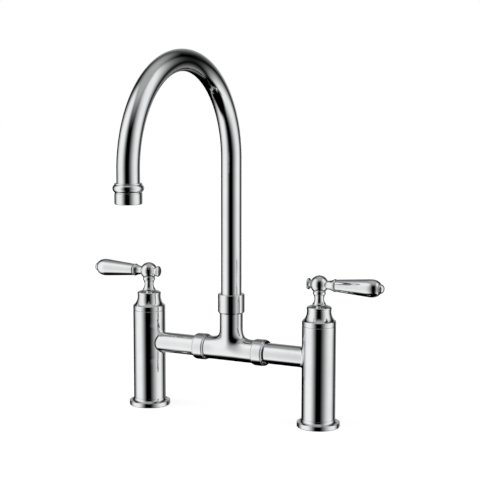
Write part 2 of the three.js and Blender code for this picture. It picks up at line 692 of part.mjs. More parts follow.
// Domed plug on the side of the ball away from the lever; its stem hides the grub screw.
function hubButton() {
  const neck = ballFace(BUTTON_STEM_RADIUS + FIT);
  const profile = new THREE.Path()
    .moveTo(0, BUTTON_START)
    .lineTo(BUTTON_STEM_RADIUS, BUTTON_START)
    .lineTo(BUTTON_STEM_RADIUS, neck)
    .lineTo(BUTTON_NECK_RADIUS, neck)
    .lineTo(BUTTON_NECK_RADIUS, BUTTON_RIM_PLACE - 4 * EDGE)
    .lineTo(BUTTON_RADIUS - EDGE, BUTTON_RIM_PLACE - 2 * EDGE)
    .lineTo(BUTTON_RADIUS, BUTTON_RIM_PLACE)
    .absellipse(0, BUTTON_RIM_PLACE, BUTTON_RADIUS, BUTTON_DOME, 0, QUARTER_TURN, false);
  return alongX(turned(profile, SMALL_SIDES)).rotateZ(Math.PI).translate(0, 0, LEVER_HEIGHT);
}

function grubScrew() {
  const end = GRUB_START + GRUB_LENGTH;
  const screw = plug(GRUB_RADIUS, GRUB_START, end, SMALL_SIDES);
  const socket = plug(GRUB_SOCKET_RADIUS, end - GRUB_SOCKET_DEPTH, end + EDGE, 6);
  return alongX(cut(screw, socket)).rotateZ(Math.PI).translate(0, 0, LEVER_HEIGHT);
}

// Nut that draws a pillar's arm to the tee, with a small ring at each end; local +X points from
// the tee to the pillar and zero is the nut's middle.
function unionNut() {
  const half = UNION_LENGTH / 2;
  const end = half + UNION_BEAD_LENGTH;
  const shoulder = TAIL_SHOULDER - UNION_PLACE;
  const groove = UNION_BEAD_RADIUS - UNION_GROOVE;
  const profile = new THREE.Path()
    .moveTo(TEE_RADIUS + FIT, -end)
    .lineTo(UNION_BEAD_RADIUS, -end)
    .lineTo(UNION_BEAD_RADIUS, -half - EDGE)
    .lineTo(groove, -half)
    .lineTo(UNION_RADIUS - UNION_EDGE, -half)
    .lineTo(UNION_RADIUS, -half + UNION_EDGE)
    .lineTo(UNION_RADIUS, half - UNION_EDGE)
    .lineTo(UNION_RADIUS - UNION_EDGE, half)
    .lineTo(groove, half)
    .lineTo(UNION_BEAD_RADIUS, half + EDGE)
    .lineTo(UNION_BEAD_RADIUS, end)
    .lineTo(ARM_RADIUS + FIT, end)
    .lineTo(ARM_RADIUS + FIT, shoulder)
    .lineTo(TEE_RADIUS + FIT, shoulder)
    .closePath();
  return alongX(turned(profile));
}

function unionWasher() {
  return alongX(ring(TEE_BORE, TEE_RADIUS, -UNION_WASHER / 2, UNION_WASHER / 2));
}

// Run along X and branch along +Z, with rolling-ball fillets in both crotches.
function teeBody() {
  const run = alongX(plug(TEE_RADIUS, -TEE_END, TEE_END, SIDES));
  const branch = plug(TEE_RADIUS, 0, BRANCH_LENGTH, SIDES);
  const sweep = THREE.MathUtils.degToRad(8);
  const fillets = [0, Math.PI].map((turn) =>
    rollingFillet(TEE_RADIUS, TEE_RADIUS, TEE_FILLET, sweep, Math.PI - sweep, SIDES / 2)
      .rotateZ(turn),
  );
  const runBore = alongX(plug(TEE_BORE, -TEE_END - EDGE, TEE_END + EDGE));
  const branchBore = new THREE.Path()
    .moveTo(0, 0)
    .lineTo(TEE_BORE, 0)
    .lineTo(TEE_BORE, BRANCH_LENGTH - SOCKET_DEPTH)
    .lineTo(SOCKET_RADIUS, BRANCH_LENGTH - SOCKET_DEPTH)
    .lineTo(SOCKET_RADIUS, BRANCH_LENGTH + EDGE)
    .lineTo(0, BRANCH_LENGTH + EDGE);
  const body = joined(run, branch, ...fillets);
  return cut(body, runBore, turned(branchBore)).translate(0, 0, BRIDGE_HEIGHT);
}

function spoutNut() {
  const profile = new THREE.Path()
    .moveTo(TEE_RADIUS + FIT, NUT_BOTTOM)
    .lineTo(NUT_RADIUS, NUT_BOTTOM + NUT_CHAMFER)
    .lineTo(NUT_RADIUS, NUT_TOP - NUT_EDGE)
    .quadraticCurveTo(NUT_RADIUS, NUT_TOP, NUT_RADIUS - NUT_EDGE, NUT_TOP)
    .lineTo(TUBE_RADIUS + FIT, NUT_TOP)
    .lineTo(TUBE_RADIUS + FIT, LIP_BASE)
    .lineTo(TEE_RADIUS + FIT, LIP_BASE)
    .closePath();
  return turned(profile);
}

function thrustWasher() {
  const bottom = BRANCH_TOP + SEAT;
  return ring(SWIVEL_RADIUS + FIT, TEE_RADIUS, bottom, bottom + THRUST_WASHER, SIDES);
}

// Brazed into the foot of the tube: a sleeve, a collar and the spigot with its seal grooves.
function spoutSpigot() {
  const profile = new THREE.Path()
    .moveTo(SWIVEL_BORE, SPIGOT_BASE)
    .lineTo(SWIVEL_RADIUS - EDGE, SPIGOT_BASE)
    .lineTo(SWIVEL_RADIUS, SPIGOT_BASE + EDGE);
  const bed = SWIVEL_RADIUS - ORING_DEPTH - ORING_SECTION - SEAT;
  for (const rise of SWIVEL_SEALS) {
    const low = SPIGOT_BASE + rise - ORING_SECTION - SEAT;
    const high = SPIGOT_BASE + rise + ORING_SECTION + SEAT;
    profile.lineTo(SWIVEL_RADIUS, low).lineTo(bed, low).lineTo(bed, high);
    profile.lineTo(SWIVEL_RADIUS, high);
  }
  profile
    .lineTo(SWIVEL_RADIUS, COLLAR_BASE)
    .lineTo(COLLAR_RADIUS, COLLAR_BASE)
    .lineTo(COLLAR_RADIUS, COLLAR_TOP)
    .lineTo(TUBE_BORE - FIT, COLLAR_TOP)
    .lineTo(TUBE_BORE - FIT, COLLAR_TOP + SWIVEL_SLEEVE)
    .lineTo(SWIVEL_BORE, COLLAR_TOP + SWIVEL_SLEEVE)
    .closePath();
  return turned(profile, SMALL_SIDES);
}

function spoutSeal(rise) {
  return oRing(SWIVEL_RADIUS - ORING_DEPTH, SPIGOT_BASE + rise);
}

function retainingRing() {
  return splitRing(TUBE_RADIUS + FIT, TEE_RADIUS, RETAINER_BASE, RETAINER_THICKNESS);
}

// Middle line of the tube: riser, half circle and drop, stepped finely only where it bends.
class Gooseneck extends THREE.Curve {
  getPoint(t, target = new THREE.Vector3()) {
    const step = t * (ARC_STEPS + 2);
    const radius = SPOUT_REACH / 2;
    const bend = (THREE.MathUtils.clamp(step - 1, 0, ARC_STEPS) / ARC_STEPS) * Math.PI;
    const riserLeft = Math.max(1 - step, 0) * (SPOUT_ARC_HEIGHT - TUBE_BASE);
    const dropDone = Math.max(step - 1 - ARC_STEPS, 0) * (SPOUT_DROP - TUBE_END);
    return target.set(
      0,
      radius * (Math.cos(bend) - 1),
      SPOUT_ARC_HEIGHT + radius * Math.sin(bend) - riserLeft - dropDone,
    );
  }

  getUtoTmapping(u) {
    return u;
  }
}

function spoutTube() {
  const section = new THREE.Shape().absarc(0, 0, TUBE_RADIUS, 0, 2 * Math.PI, false);
  section.holes.push(new THREE.Path().absarc(0, 0, TUBE_BORE, 0, 2 * Math.PI, true));
  return new THREE.ExtrudeGeometry(section, {
    steps: ARC_STEPS + 2,
    curveSegments: SIDES / 2,
    extrudePath: new Gooseneck(),
  });
}

// Shoulder ring and bead, brazed on the end of the tube and threaded for the aerator.
function outletCollar() {
  const seam = SLEEVE_HEIGHT + SEAT;
  const profile = new THREE.Path()
    .moveTo(HOUSING_SPIGOT_RADIUS + FIT, seam)
    .lineTo(GROOVE_RADIUS, seam)
    .lineTo(GROOVE_RADIUS, OUTLET_BEAD_START)
    .quadraticCurveTo(OUTLET_BEAD_RADIUS, OUTLET_BEAD_START, OUTLET_BEAD_RADIUS, OUTLET_BEAD_MIDDLE)
    .quadraticCurveTo(OUTLET_BEAD_RADIUS, OUTLET_BEAD_END, SHOULDER_RADIUS - EDGE, OUTLET_BEAD_END)
    .lineTo(SHOULDER_RADIUS, OUTLET_BEAD_END + EDGE)
    .lineTo(SHOULDER_RADIUS, SHOULDER_TOP)
    .lineTo(TUBE_RADIUS + FIT, SHOULDER_TOP)
    .lineTo(TUBE_RADIUS + FIT, WEB_TOP)
    .lineTo(COLLAR_WEB_BORE, WEB_TOP)
    .lineTo(COLLAR_WEB_BORE, SPIGOT_TOP + SEAT)
    .lineTo(HOUSING_SPIGOT_RADIUS + FIT, SPIGOT_TOP + SEAT)
    .closePath();
  return turned(profile);
}

function aeratorHousing() {
  const profile = new THREE.Path()
    .moveTo(MOUTH_RADIUS, 0)
    .lineTo(SLEEVE_RADIUS - SLEEVE_EDGE, 0)
    .quadraticCurveTo(SLEEVE_RADIUS, 0, SLEEVE_RADIUS, SLEEVE_EDGE)
    .lineTo(SLEEVE_RADIUS, SLEEVE_HEIGHT - EDGE)
    .lineTo(SLEEVE_RADIUS - EDGE, SLEEVE_HEIGHT)
    .lineTo(HOUSING_SPIGOT_RADIUS, SLEEVE_HEIGHT)
    .lineTo(HOUSING_SPIGOT_RADIUS, SPIGOT_TOP)
    .lineTo(INSERT_RADIUS + FIT, SPIGOT_TOP)
    .lineTo(INSERT_RADIUS + FIT, MOUTH_LIP)
    .lineTo(MOUTH_RADIUS, MOUTH_LIP)
    .closePath();
  return turned(profile);
}

// Plastic jet former with rings of small holes.
function aeratorInsert() {
  const rim = new THREE.Path().absarc(0, 0, INSERT_RADIUS, 0, 2 * Math.PI, false);
  const disc = new THREE.Shape(rim.getPoints(INNER_SIDES / 2));
  for (const [ringNumber, holes] of INSERT_RING_HOLES.entries()) {
    const radius = ringNumber * INSERT_HOLE_PITCH;
    for (let i = 0; i < holes; i++) {
      const angle = (i / holes) * 2 * Math.PI;
      const x = radius * Math.cos(angle);
      const y = radius * Math.sin(angle);
      const hole = new THREE.Path().absarc(x, y, INSERT_HOLE_RADIUS, 0, 2 * Math.PI, true);
      disc.holes.push(new THREE.Path(hole.getPoints(RUBBER_SIDES / 2)));
    }
  }
  const options = { depth: INSERT_THICKNESS, bevelEnabled: false };
  return new THREE.ExtrudeGeometry(disc, options).translate(0, 0, MOUTH_LIP + SEAT);
}

function aeratorWasher() {
  const bottom = INSERT_TOP + SEAT;
  return ring(AERATOR_WASHER_BORE, INSERT_RADIUS, bottom, bottom + AERATOR_WASHER);
}

// Fixed pieces of one pillar, with the arm along local +X.
function pillarGroup(label, side) {
  const group = new THREE.Group();
  group.add(
    piece(`${label}_base_flange`, baseFlange(), CHROME),
    piece(`${label}_base_seal`, baseSeal(), RUBBER),
    piece(`${label}_pillar`, pillar(), CHROME),
    piece(`${label}_bonnet`, bonnet(), CHROME),
    piece(`${label}_cartridge_body`, cartridgeBody(), BRASS),
    piece(`${label}_cartridge_seal`, cartridgeSeal(), RUBBER),
    piece(`${label}_fixed_disc`, ceramicDisc(CARTRIDGE_BASE, 0), CERAMIC),
  );
  group.position.x = side * HALF_SPACING;
  group.rotation.z = side > 0 ? Math.PI : 0;
  return group;
}

// Everything that turns with one lever, with the lever along local +X.
function leverGroup(label, side) {
  const group = new THREE.Group();
  group.add(
    piece(`${label}_moving_disc`, ceramicDisc(MOVING_DISC_BASE, QUARTER_TURN), CERAMIC),
    piece(`${label}_spindle`, spindle(), BRASS),
    piece(`${label}_spindle_seal`, spindleSeal(), RUBBER),
    piece(`${label}_spindle_clip`, spindleClip(), BRASS),
    piece(`${label}_lever_hub`, leverHub(), CHROME),
    piece(`${label}_lever_rod`, leverRod(), CHROME),
    piece(`${label}_lever_grip`, leverGrip(), CHROME),
    piece(`${label}_lever_finial`, leverFinial(), CHROME),
    piece(`${label}_hub_button`, hubButton(), CHROME),
    piece(`${label}_grub_screw`, grubScrew(), BRASS),
  );
  const back = THREE.MathUtils.degToRad(LEVER_BACK_ANGLE);
  group.position.x = side * HALF_SPACING;
  group.rotation.z = side > 0 ? back : Math.PI - back;
  return group;
}

// Nut and washer of one union on the bridge.
function unionGroup(label, side) {
  const group = new THREE.Group();
  group.add(
    piece(`${label}_union_nut`, unionNut(), CHROME),
    piece(`${label}_union_washer`, unionWasher(), RUBBER),
  );
  group.position.set(side * UNION_PLACE, 0, BRIDGE_HEIGHT);
  group.rotation.z = side > 0 ? 0 : Math.PI;
  return group;
}

function outletGroup() {
  const group = new THREE.Group();
  group.add(
    piece("outlet_collar", outletCollar(), CHROME),
    piece("aerator_housing", aeratorHousing(), CHROME),
    piece("aerator_insert", aeratorInsert(), NYLON),
    piece("aerator_washer", aeratorWasher(), RUBBER),
  );
  group.position.set(0, -SPOUT_REACH, MOUTH_HEIGHT);
  return group;
}

const faucet = new THREE.Group();
for (const [label, side] of Object.entries({ left: -1, right: 1 })) {
  faucet.add(pillarGroup(label, side), leverGroup(label, side), unionGroup(label, side));
}
faucet.add(
  piece("tee_body", teeBody(), CHROME),
  piece("spout_nut", spoutNut(), CHROME),
  piece("thrust_washer", thrustWasher(), NYLON),
  piece("spout_spigot", spoutSpigot(), BRASS),
  piece("lower_spout_seal", spoutSeal(SWIVEL_SEALS[0]), RUBBER),
  piece("upper_spout_seal", spoutSeal(SWIVEL_SEALS[1]), RUBBER),
  piece("retaining_ring", retainingRing(), NYLON),
  piece("spout_tube", spoutTube(), CHROME),
  outletGroup(),
);

export default faucet;
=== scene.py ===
"""A bridge kitchen faucet in polished chrome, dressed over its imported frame.

Metres, +Z up. The origin lies on the deck midway between the pillars, the bridge runs along X and
the spout reaches towards -Y.
"""

import json
import logging
import math
from dataclasses import dataclass, field
from enum import Enum
from typing import Callable, Sequence

import bmesh
import bpy
import numpy as np
from mathutils import Matrix, Vector

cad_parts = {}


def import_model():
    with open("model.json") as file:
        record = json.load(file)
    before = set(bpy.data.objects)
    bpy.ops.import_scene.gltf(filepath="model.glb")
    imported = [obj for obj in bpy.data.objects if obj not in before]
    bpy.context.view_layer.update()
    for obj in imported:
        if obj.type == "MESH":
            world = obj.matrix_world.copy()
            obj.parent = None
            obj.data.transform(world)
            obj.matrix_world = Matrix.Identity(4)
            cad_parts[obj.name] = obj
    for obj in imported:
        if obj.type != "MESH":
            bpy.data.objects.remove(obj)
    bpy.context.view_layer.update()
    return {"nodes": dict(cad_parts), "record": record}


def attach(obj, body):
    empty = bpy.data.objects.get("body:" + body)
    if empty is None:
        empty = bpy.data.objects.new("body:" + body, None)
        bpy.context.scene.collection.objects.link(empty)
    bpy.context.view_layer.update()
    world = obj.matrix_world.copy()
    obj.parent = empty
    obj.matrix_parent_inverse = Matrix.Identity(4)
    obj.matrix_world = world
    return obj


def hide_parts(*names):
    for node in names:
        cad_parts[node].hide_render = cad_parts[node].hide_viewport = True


LOG = logging.getLogger("faucet")
MM = 0.001

HALF_SPACING = 101.6 * MM
BRIDGE_HEIGHT = 71.1 * MM
SPOUT_REACH = 202.1 * MM
SPOUT_ARC_HEIGHT = 274.3 * MM
MOUTH_HEIGHT = 243.8 * MM
PILLAR_HEIGHT = 105.6 * MM
LEVER_HEIGHT = 148.55 * MM

SIDES = 128
DRILL_SIDES = 64
SUPPORT = 0.25 * MM
LONG_SIDE = 6 * SUPPORT
LARGEST_SHARE = 0.49
ROUND_STEP = math.radians(11)
SHARP_ANGLE = math.radians(32)
NUDGE = 0.01 * MM
NEWTON_ROUNDS = 5
MERGE_GAP = 1e-6
DOUBLE_GAP = 1e-7
THINNEST = 1e-8
ON_AXIS = 1e-9
LEAST_SQUARE = 1e-12
FLAT_SWEEP = 1e-5
FULL_TURN = 360.0
CLOUD_RANGE = (0.3, 0.7)
WHITE = (1.0, 1.0, 1.0, 1.0)

Point = tuple[float, float]
Span = tuple[float, float]
Colour = tuple[float, float, float]
Feeds = dict[str | int, object]


class Side(Enum):
    """The two halves of the faucet, by the sign of X."""

    LEFT = -1
    RIGHT = 1

    @property
    def label(self) -> str:
        """Word that starts the names of this side's pieces."""
        return self.name.lower()

    @property
    def axis_x(self) -> float:
        """X of this side's pillar."""
        return self.value * HALF_SPACING


@dataclass(frozen=True)
class Corner:
    """Corner of a turned outline, with the rounding put on it."""

    radius: float
    height: float
    rounding: float = 0.0


def corners(*rows: tuple[float, ...]) -> list[Corner]:
    """Makes corners from rows of millimetres.

    Args:
        rows: radius and height of each corner, and its rounding where it has one.

    Returns:
        The corners in metres.
    """
    return [Corner(*(value * MM for value in row)) for row in rows]


def curve(*points: Point, steps: int = 12) -> list[Corner]:
    """Samples a Bezier curve of any degree.

    Args:
        points: its control points, radius and height in millimetres.
        steps: number of straight steps.

    Returns:
        Corners along the curve, both ends included.
    """
    control = np.array(points, float) * MM
    found = []
    for i in range(steps + 1):
        row = control
        share = i / steps
        while len(row) > 1:
            row = row[:-1] * (1 - share) + row[1:] * share
        found.append(Corner(*row[0]))
    return found


def arc(middle: Point, radius: float, start: float, end: float, steps: int = 12) -> list[Corner]:
    """Samples a circular arc.

    Args:
        middle: radius and height of its middle, in millimetres.
        radius: of the arc, in millimetres.
        start: angle of its first point from the outward direction, in degrees.
        end: angle of its last point.
        steps: number of straight steps.

    Returns:
        Corners along the arc, both ends included.
    """
    x, z = middle
    angles = np.radians(np.linspace(start, end, steps + 1))
    return corners(*((x + radius * math.cos(a), z + radius * math.sin(a)) for a in angles))


def rounded(outline: Sequence[Corner], closed: bool) -> list[Point]:
    """Puts each corner's rounding on it as an arc.

    Args:
        outline: the corners, counterclockwise in radius and height.
        closed: whether the last corner joins the first.

    Returns:
        Points of radius and height.
    """
    points: list[Point] = []
    count = len(outline)
    for i, corner in enumerate(outline):
        here = Vector((corner.radius, corner.height))
        at_end = not closed and i in (0, count - 1)
        if corner.rounding <= 0 or at_end:
            points.append(tuple(here))
            continue
        before = outline[i - 1]
        after = outline[(i + 1) % count]
        back = Vector((before.radius, before.height)) - here
        ahead = Vector((after.radius, after.height)) - here
        points.extend(corner_arc(here, back, ahead, corner.rounding))
    return points


def corner_arc(here: Vector, back: Vector, ahead: Vector, rounding: float) -> list[Point]:
    """Finds the arc that touches both sides of a corner.

    Args:
        here: the corner.
        back: from the corner to the one before.
        ahead: from the corner to the one after.
        rounding: radius of the arc, made smaller where a side is too short for it.

    Returns:
        Points of the arc in the outline's order.
    """
    turn = back.angle(ahead)
    room = LARGEST_SHARE * min(back.length, ahead.length)
    reach = min(rounding / math.tan(turn / 2), room)
    inward = (back.normalized() + ahead.normalized()).normalized()
    middle = here + inward * math.hypot(reach, reach * math.tan(turn / 2))
    start, end = here + back.normalized() * reach, here + ahead.normalized() * reach
    steps = max(2, math.ceil((math.pi - turn) / ROUND_STEP))
    return [tuple(swept(middle, start, end, k / steps)) for k in range(steps + 1)]


def swept(middle: Vector, start: Vector, end: Vector, share: float) -> Vector:
    """Finds a point on the arc between two points.

    Args:
        middle: of the arc, as far from the one point as from the other.
        start: where the arc begins.
        end: where it ends.
        share: of the way, from 0 to 1.

    Returns:
        The point.
    """
    first, last = start - middle, end - middle
    sweep = first.angle(last)
    if sweep < FLAT_SWEEP:
        return start.lerp(end, share)
    spoke = first * math.sin((1 - share) * sweep) + last * math.sin(share * sweep)
    return middle + spoke / math.sin(sweep)


def supported(points: Sequence[Point], closed: bool) -> list[Point]:
    """Adds a point close to each end of a long straight side, so that flats shade as flats.

    Args:
        points: the outline.
        closed: whether its last point joins its first.

    Returns:
        The outline with the added points.
    """
    found: list[Point] = []
    count = len(points)
    for i, point in enumerate(points):
        found.append(point)
        if i == count - 1 and not closed:
            break
        here = Vector(point)
        side = Vector(points[(i + 1) % count]) - here
        if side.length > LONG_SIDE:
            step = side.normalized() * SUPPORT
            found.append(tuple(here + step))
            found.append(tuple(here + side - step))
    return found


@dataclass
class Draft:
    """Vertices and faces of a piece while it is being made."""

    points: list[Vector] = field(default_factory=list)
    faces: list[tuple[int, ...]] = field(default_factory=list)

    def ring(self, points: Sequence[Vector]) -> list[int]:
        """Adds points and returns their numbers."""
        self.points.extend(points)
        return list(range(len(self.points) - len(points), len(self.points)))

    def bridge(self, lower: Sequence[int], upper: Sequence[int], closed: bool = True) -> None:
        """Joins two rows of equal length by quads.

        Args:
            lower: numbers of the first row.
            upper: numbers of the second row.
            closed: whether the rows are rings.
        """
        count = len(lower)
        for i in range(count if closed else count - 1):
            after = (i + 1) % count
            self.faces.append((lower[i], lower[after], upper[after], upper[i]))

    def fan(self, ring: Sequence[int], pole: int, upward: bool) -> None:
        """Closes a ring by triangles that meet at a pole.

        Args:
            ring: numbers of the ring.
            pole: number of the pole.
            upward: whether the fan faces the way the rings were stacked.
        """
        count = len(ring)
        for i in range(count):
            after = (i + 1) % count
            pair = (ring[i], ring[after]) if upward else (ring[after], ring[i])
            self.faces.append((*pair, pole))

    def settle(self, gap: Callable[[Vector], float], limit: float) -> None:
        """Moves points onto the surface where a gap is 0, by Newton's steps.

        Args:
            gap: distance from the surface, less than 0 inside.
            limit: the largest gap of a point that is moved.
        """
        sides = [axis * NUDGE for axis in Matrix.Identity(3)]
        for number, point in enumerate(self.points):
            if abs(gap(point)) > limit:
                continue
            for _ in range(NEWTON_ROUNDS):
                slope = Vector([(gap(point + s) - gap(point - s)) / (2 * NUDGE) for s in sides])
                point = point - slope * (gap(point) / slope.length_squared)
            self.points[number] = point

    def mesh(self, name: str, place: Matrix = Matrix.Identity(4)) -> bpy.types.Mesh:
        """Makes a mesh in which smooth stretches shade smooth and edges stay crisp.

        Args:
            name: of the mesh.
            place: moves the piece to where it belongs.

        Returns:
            The mesh, closed, with its faces pointing out.
        """
        made = bpy.data.meshes.new(name)
        made.from_pydata([place @ p for p in self.points], [], self.faces)
        return finished_mesh(made)


def finished_mesh(mesh: bpy.types.Mesh) -> bpy.types.Mesh:
    """Merges doubles, turns the faces out and shades the mesh.

    Args:
        mesh: the mesh, changed in place.

    Returns:
        The same mesh.
    """
    bm = bmesh.new()
    bm.from_mesh(mesh)
    bmesh.ops.remove_doubles(bm, verts=bm.verts, dist=DOUBLE_GAP)
    bmesh.ops.dissolve_degenerate(bm, edges=bm.edges, dist=THINNEST)
    bmesh.ops.recalc_face_normals(bm, faces=bm.faces)
    bm.to_mesh(mesh)
    bm.free()
    mesh.shade_smooth()
    mesh.set_sharp_from_angle(angle=SHARP_ANGLE)
    return mesh


def turned(outline: Sequence[Corner], closed: bool = False, sides: int = SIDES) -> Draft:
    """Revolves an outline about +Z.

    Args:
        outline: corners, counterclockwise in radius and height.
        closed: True for a ring, False for an outline that starts and ends on the axis.
        sides: facets round the axis.

    Returns:
        The draft of the turned piece.
    """
    points = supported(rounded(outline, closed), closed)
    draft = Draft()
    rows: list[list[int]] = []
    for radius, height in points:
        if radius < ON_AXIS:
            rows.append(draft.ring([Vector((0, 0, height))]))
        else:
            rows.append(draft.ring(circle(radius, height, sides)))
    spans = len(rows) if closed else len(rows) - 1
    for i in range(spans):
        lower, upper = rows[i], rows[(i + 1) % len(rows)]
        if len(lower) == 1:
            draft.fan(upper, lower[0], upward=False)
        elif len(upper) == 1:
            draft.fan(lower, upper[0], upward=True)
        else:
            draft.bridge(lower, upper)
    return draft


def polar(radius: float, angle: float, height: float) -> Vector:
    """Point at an angle about +Z."""
    return Vector((radius * math.cos(angle), radius * math.sin(angle), height))


def circle(radius: float, height: float, sides: int) -> list[Vector]:
    """Points of a level circle about +Z."""
    return [polar(radius, 2 * math.pi * i / sides, height) for i in range(sides)]


def drill(
    name: str, place: Matrix, *rows: tuple[float, ...], sides: int = DRILL_SIDES
) -> bpy.types.Mesh:
    """Turned tool that cuts a bore, from rows of radius and height in millimetres."""
    return turned(corners(*rows), sides=sides).mesh(name, place)


def in_metres(rows: Sequence[Point], lift: float = 0.0) -> list[Point]:
    """Rows of millimetres in metres, with the lift added to each second value."""
    return [(first * MM, (second + lift) * MM) for first, second in rows]


def shifted(x: float = 0.0, y: float = 0.0, z: float = 0.0) -> Matrix:
    """Matrix that moves by the given lengths."""
    return Matrix.Translation((x, y, z))


def turned_to(direction: Vector) -> Matrix:
    """Matrix that turns +Z to a direction."""
    return direction.to_track_quat("Z", "X").to_matrix().to_4x4()


def linked(name: str, data: bpy.types.ID) -> bpy.types.Object:
    """Puts data in the scene.

    Args:
        name: of the object.
        data: mesh or camera that the object shows.

    Returns:
        The object.
    """
    made = bpy.data.objects.new(name, data)
    bpy.context.collection.objects.link(made)
    return made


def baked(host: bpy.types.Object, *helpers: bpy.types.Object) -> bpy.types.Mesh:
    """Turns what an object's modifiers make into a plain mesh.

    Args:
        host: the object, which is deleted with its old mesh.
        helpers: objects that the modifiers use, deleted too.

    Returns:
        The plain mesh, shaded.
    """
    graph = bpy.context.evaluated_depsgraph_get()
    made = bpy.data.meshes.new_from_object(host.evaluated_get(graph))
    made.name = host.name
    host.modifiers.clear()
    for spare in (host, *helpers):
        data = spare.data
        bpy.data.objects.remove(spare)
        bpy.data.meshes.remove(data)
    return finished_mesh(made)


def carved(mesh: bpy.types.Mesh, tools: Sequence[bpy.types.Mesh]) -> bpy.types.Mesh:
    """Cuts tools out of a mesh.

    Args:
        mesh: closed mesh to cut.
        tools: closed meshes that are cut away and then deleted.

    Returns:
        The cut mesh.
    """
    body = linked(mesh.name, mesh)
    helpers = [linked(tool.name, tool) for tool in tools]
    for helper in helpers:
        cut = body.modifiers.new("bore", "BOOLEAN")
        cut.operation, cut.solver, cut.object = "DIFFERENCE", "EXACT", helper
    return baked(body, *helpers)


# Node trees


class Wiring:
    """Short way to add and link the nodes of a tree."""

    def __init__(self, tree: bpy.types.NodeTree) -> None:
        """Keeps the tree that the nodes go into."""
        self.tree = tree

    def feed(self, node: bpy.types.Node, feeds: Feeds) -> None:
        """Feeds a node's inputs.

        Args:
            node: the node.
            feeds: outputs to link and plain values to set, by the name or number of the input.
        """
        for place, value in feeds.items():
            if isinstance(value, bpy.types.NodeSocket):
                self.tree.links.new(value, node.inputs[place])
            else:
                node.inputs[place].default_value = value

    def node(self, kind: str, feeds: Feeds | None = None, **settings: object) -> bpy.types.Node:
        """Adds a node.

        Args:
            kind: Blender's name of the node.
            feeds: what its inputs get.
            settings: values of the node's own properties.

        Returns:
            The node.
        """
        made = self.tree.nodes.new(kind)
        for name, value in settings.items():
            setattr(made, name, value)
        self.feed(made, feeds or {})
        return made

    def math(self, operation: str, *values: object) -> bpy.types.NodeSocket:
        """Adds a Math node for numbers or outputs, given in its order, and returns its result."""
        return self.node("ShaderNodeMath", dict(enumerate(values)), operation=operation).outputs[0]

    def mapped(
        self, value: object, source: Span, target: Span, **settings: object
    ) -> bpy.types.NodeSocket:
        """Adds a Map Range node.

        Args:
            value: number or output that is mapped.
            source: range that it comes from.
            target: range that it goes to.
            settings: values of the node's own properties.

        Returns:
            The node's result.
        """
        names = ("Value", "From Min", "From Max", "To Min", "To Max")
        feeds = dict(zip(names, (value, *source, *target)))
        return self.node("ShaderNodeMapRange", feeds, **settings).outputs["Result"]


# Finishes


class Relief(Enum):
    """Kinds of fine relief, by the node that makes them."""

    GRAIN = "ShaderNodeTexNoise"
    RINGS = "ShaderNodeTexWave"


@dataclass(frozen=True)
class Finish:
    """Hue that varies in soft clouds, over a fine relief; scales per metre, depth in metres."""

    name: str
    slot: str
    colour: Colour
    cloud_colour: Colour
    roughness: Span
    cloud_scale: float = 180.0
    cloud_detail: float = 4.0
    metallic: float = 0.0
    relief: Relief = Relief.GRAIN
    relief_scale: float = 2500.0
    relief_detail: float = 3.0
    relief_depth: float = 6e-6

    def material(self) -> bpy.types.Material:
        """Makes the material the first time that it is asked for.

        Returns:
            The finish as a material.
        """
        known = bpy.data.materials.get(self.name)
        if known is not None:
            return known
        made = bpy.data.materials.new(self.name)
        made.use_nodes = True
        wiring, shader = Wiring(made.node_tree), made.node_tree.nodes["Principled BSDF"]
        wiring.feed(shader, {"Metallic": self.metallic})
        self.wire_clouds(wiring, shader)
        self.wire_relief(wiring, shader)
        return made

    def wire_clouds(self, wiring: Wiring, shader: bpy.types.Node) -> None:
        """Wires the clouds to colour and roughness.

        Args:
            wiring: of the material's tree.
            shader: the principled shader.
        """
        cloud = self.texture(wiring, Relief.GRAIN, self.cloud_scale, self.cloud_detail)
        share = wiring.mapped(cloud, CLOUD_RANGE, (0.0, 1.0))
        colours = {6: (*self.colour, 1.0), 7: (*self.cloud_colour, 1.0)}
        tint = wiring.node("ShaderNodeMix", {"Factor": share, **colours}, data_type="RGBA")
        rough = wiring.mapped(cloud, CLOUD_RANGE, self.roughness)
        wiring.feed(shader, {"Base Color": tint.outputs[2], "Roughness": rough})

    def wire_relief(self, wiring: Wiring, shader: bpy.types.Node) -> None:
        """Wires the relief to the shader's normal.

        Args:
            wiring: of the material's tree.
            shader: the principled shader.
        """
        height = self.texture(wiring, self.relief, self.relief_scale, self.relief_detail)
        bump = wiring.node("ShaderNodeBump", {"Distance": self.relief_depth, "Height": height})
        wiring.feed(shader, {"Normal": bump.outputs["Normal"]})

    def texture(
        self, wiring: Wiring, relief: Relief, scale: float, detail: float
    ) -> bpy.types.NodeSocket:
        """Adds a texture on the object's own coordinates.

        Args:
            wiring: of the material's tree.
            relief: its kind.
            scale: of the texture, per metre.
            detail: its octaves.

        Returns:
            The texture's factor.
        """
        place = wiring.node("ShaderNodeTexCoord").outputs["Object"]
        made = wiring.node(relief.value, {"Vector": place, "Scale": scale, "Detail": detail})
        if relief is Relief.RINGS:
            made.wave_type, made.bands_direction = "BANDS", "Z"
        return made.outputs["Fac"]


@dataclass(frozen=True)
class PolishedChrome(Finish):
    """Bright plate with the faint haze that wiping leaves and the plate's slight orange peel."""

    name: str = "polished chrome"
    slot: str = "chrome"
    colour: Colour = (0.86, 0.865, 0.87)
    cloud_colour: Colour = (0.80, 0.81, 0.82)
    roughness: Span = (0.018, 0.045)
    cloud_scale: float = 55.0
    metallic: float = 1.0
    relief_scale: float = 900.0
    relief_detail: float = 2.0
    relief_depth: float = 0.35e-6


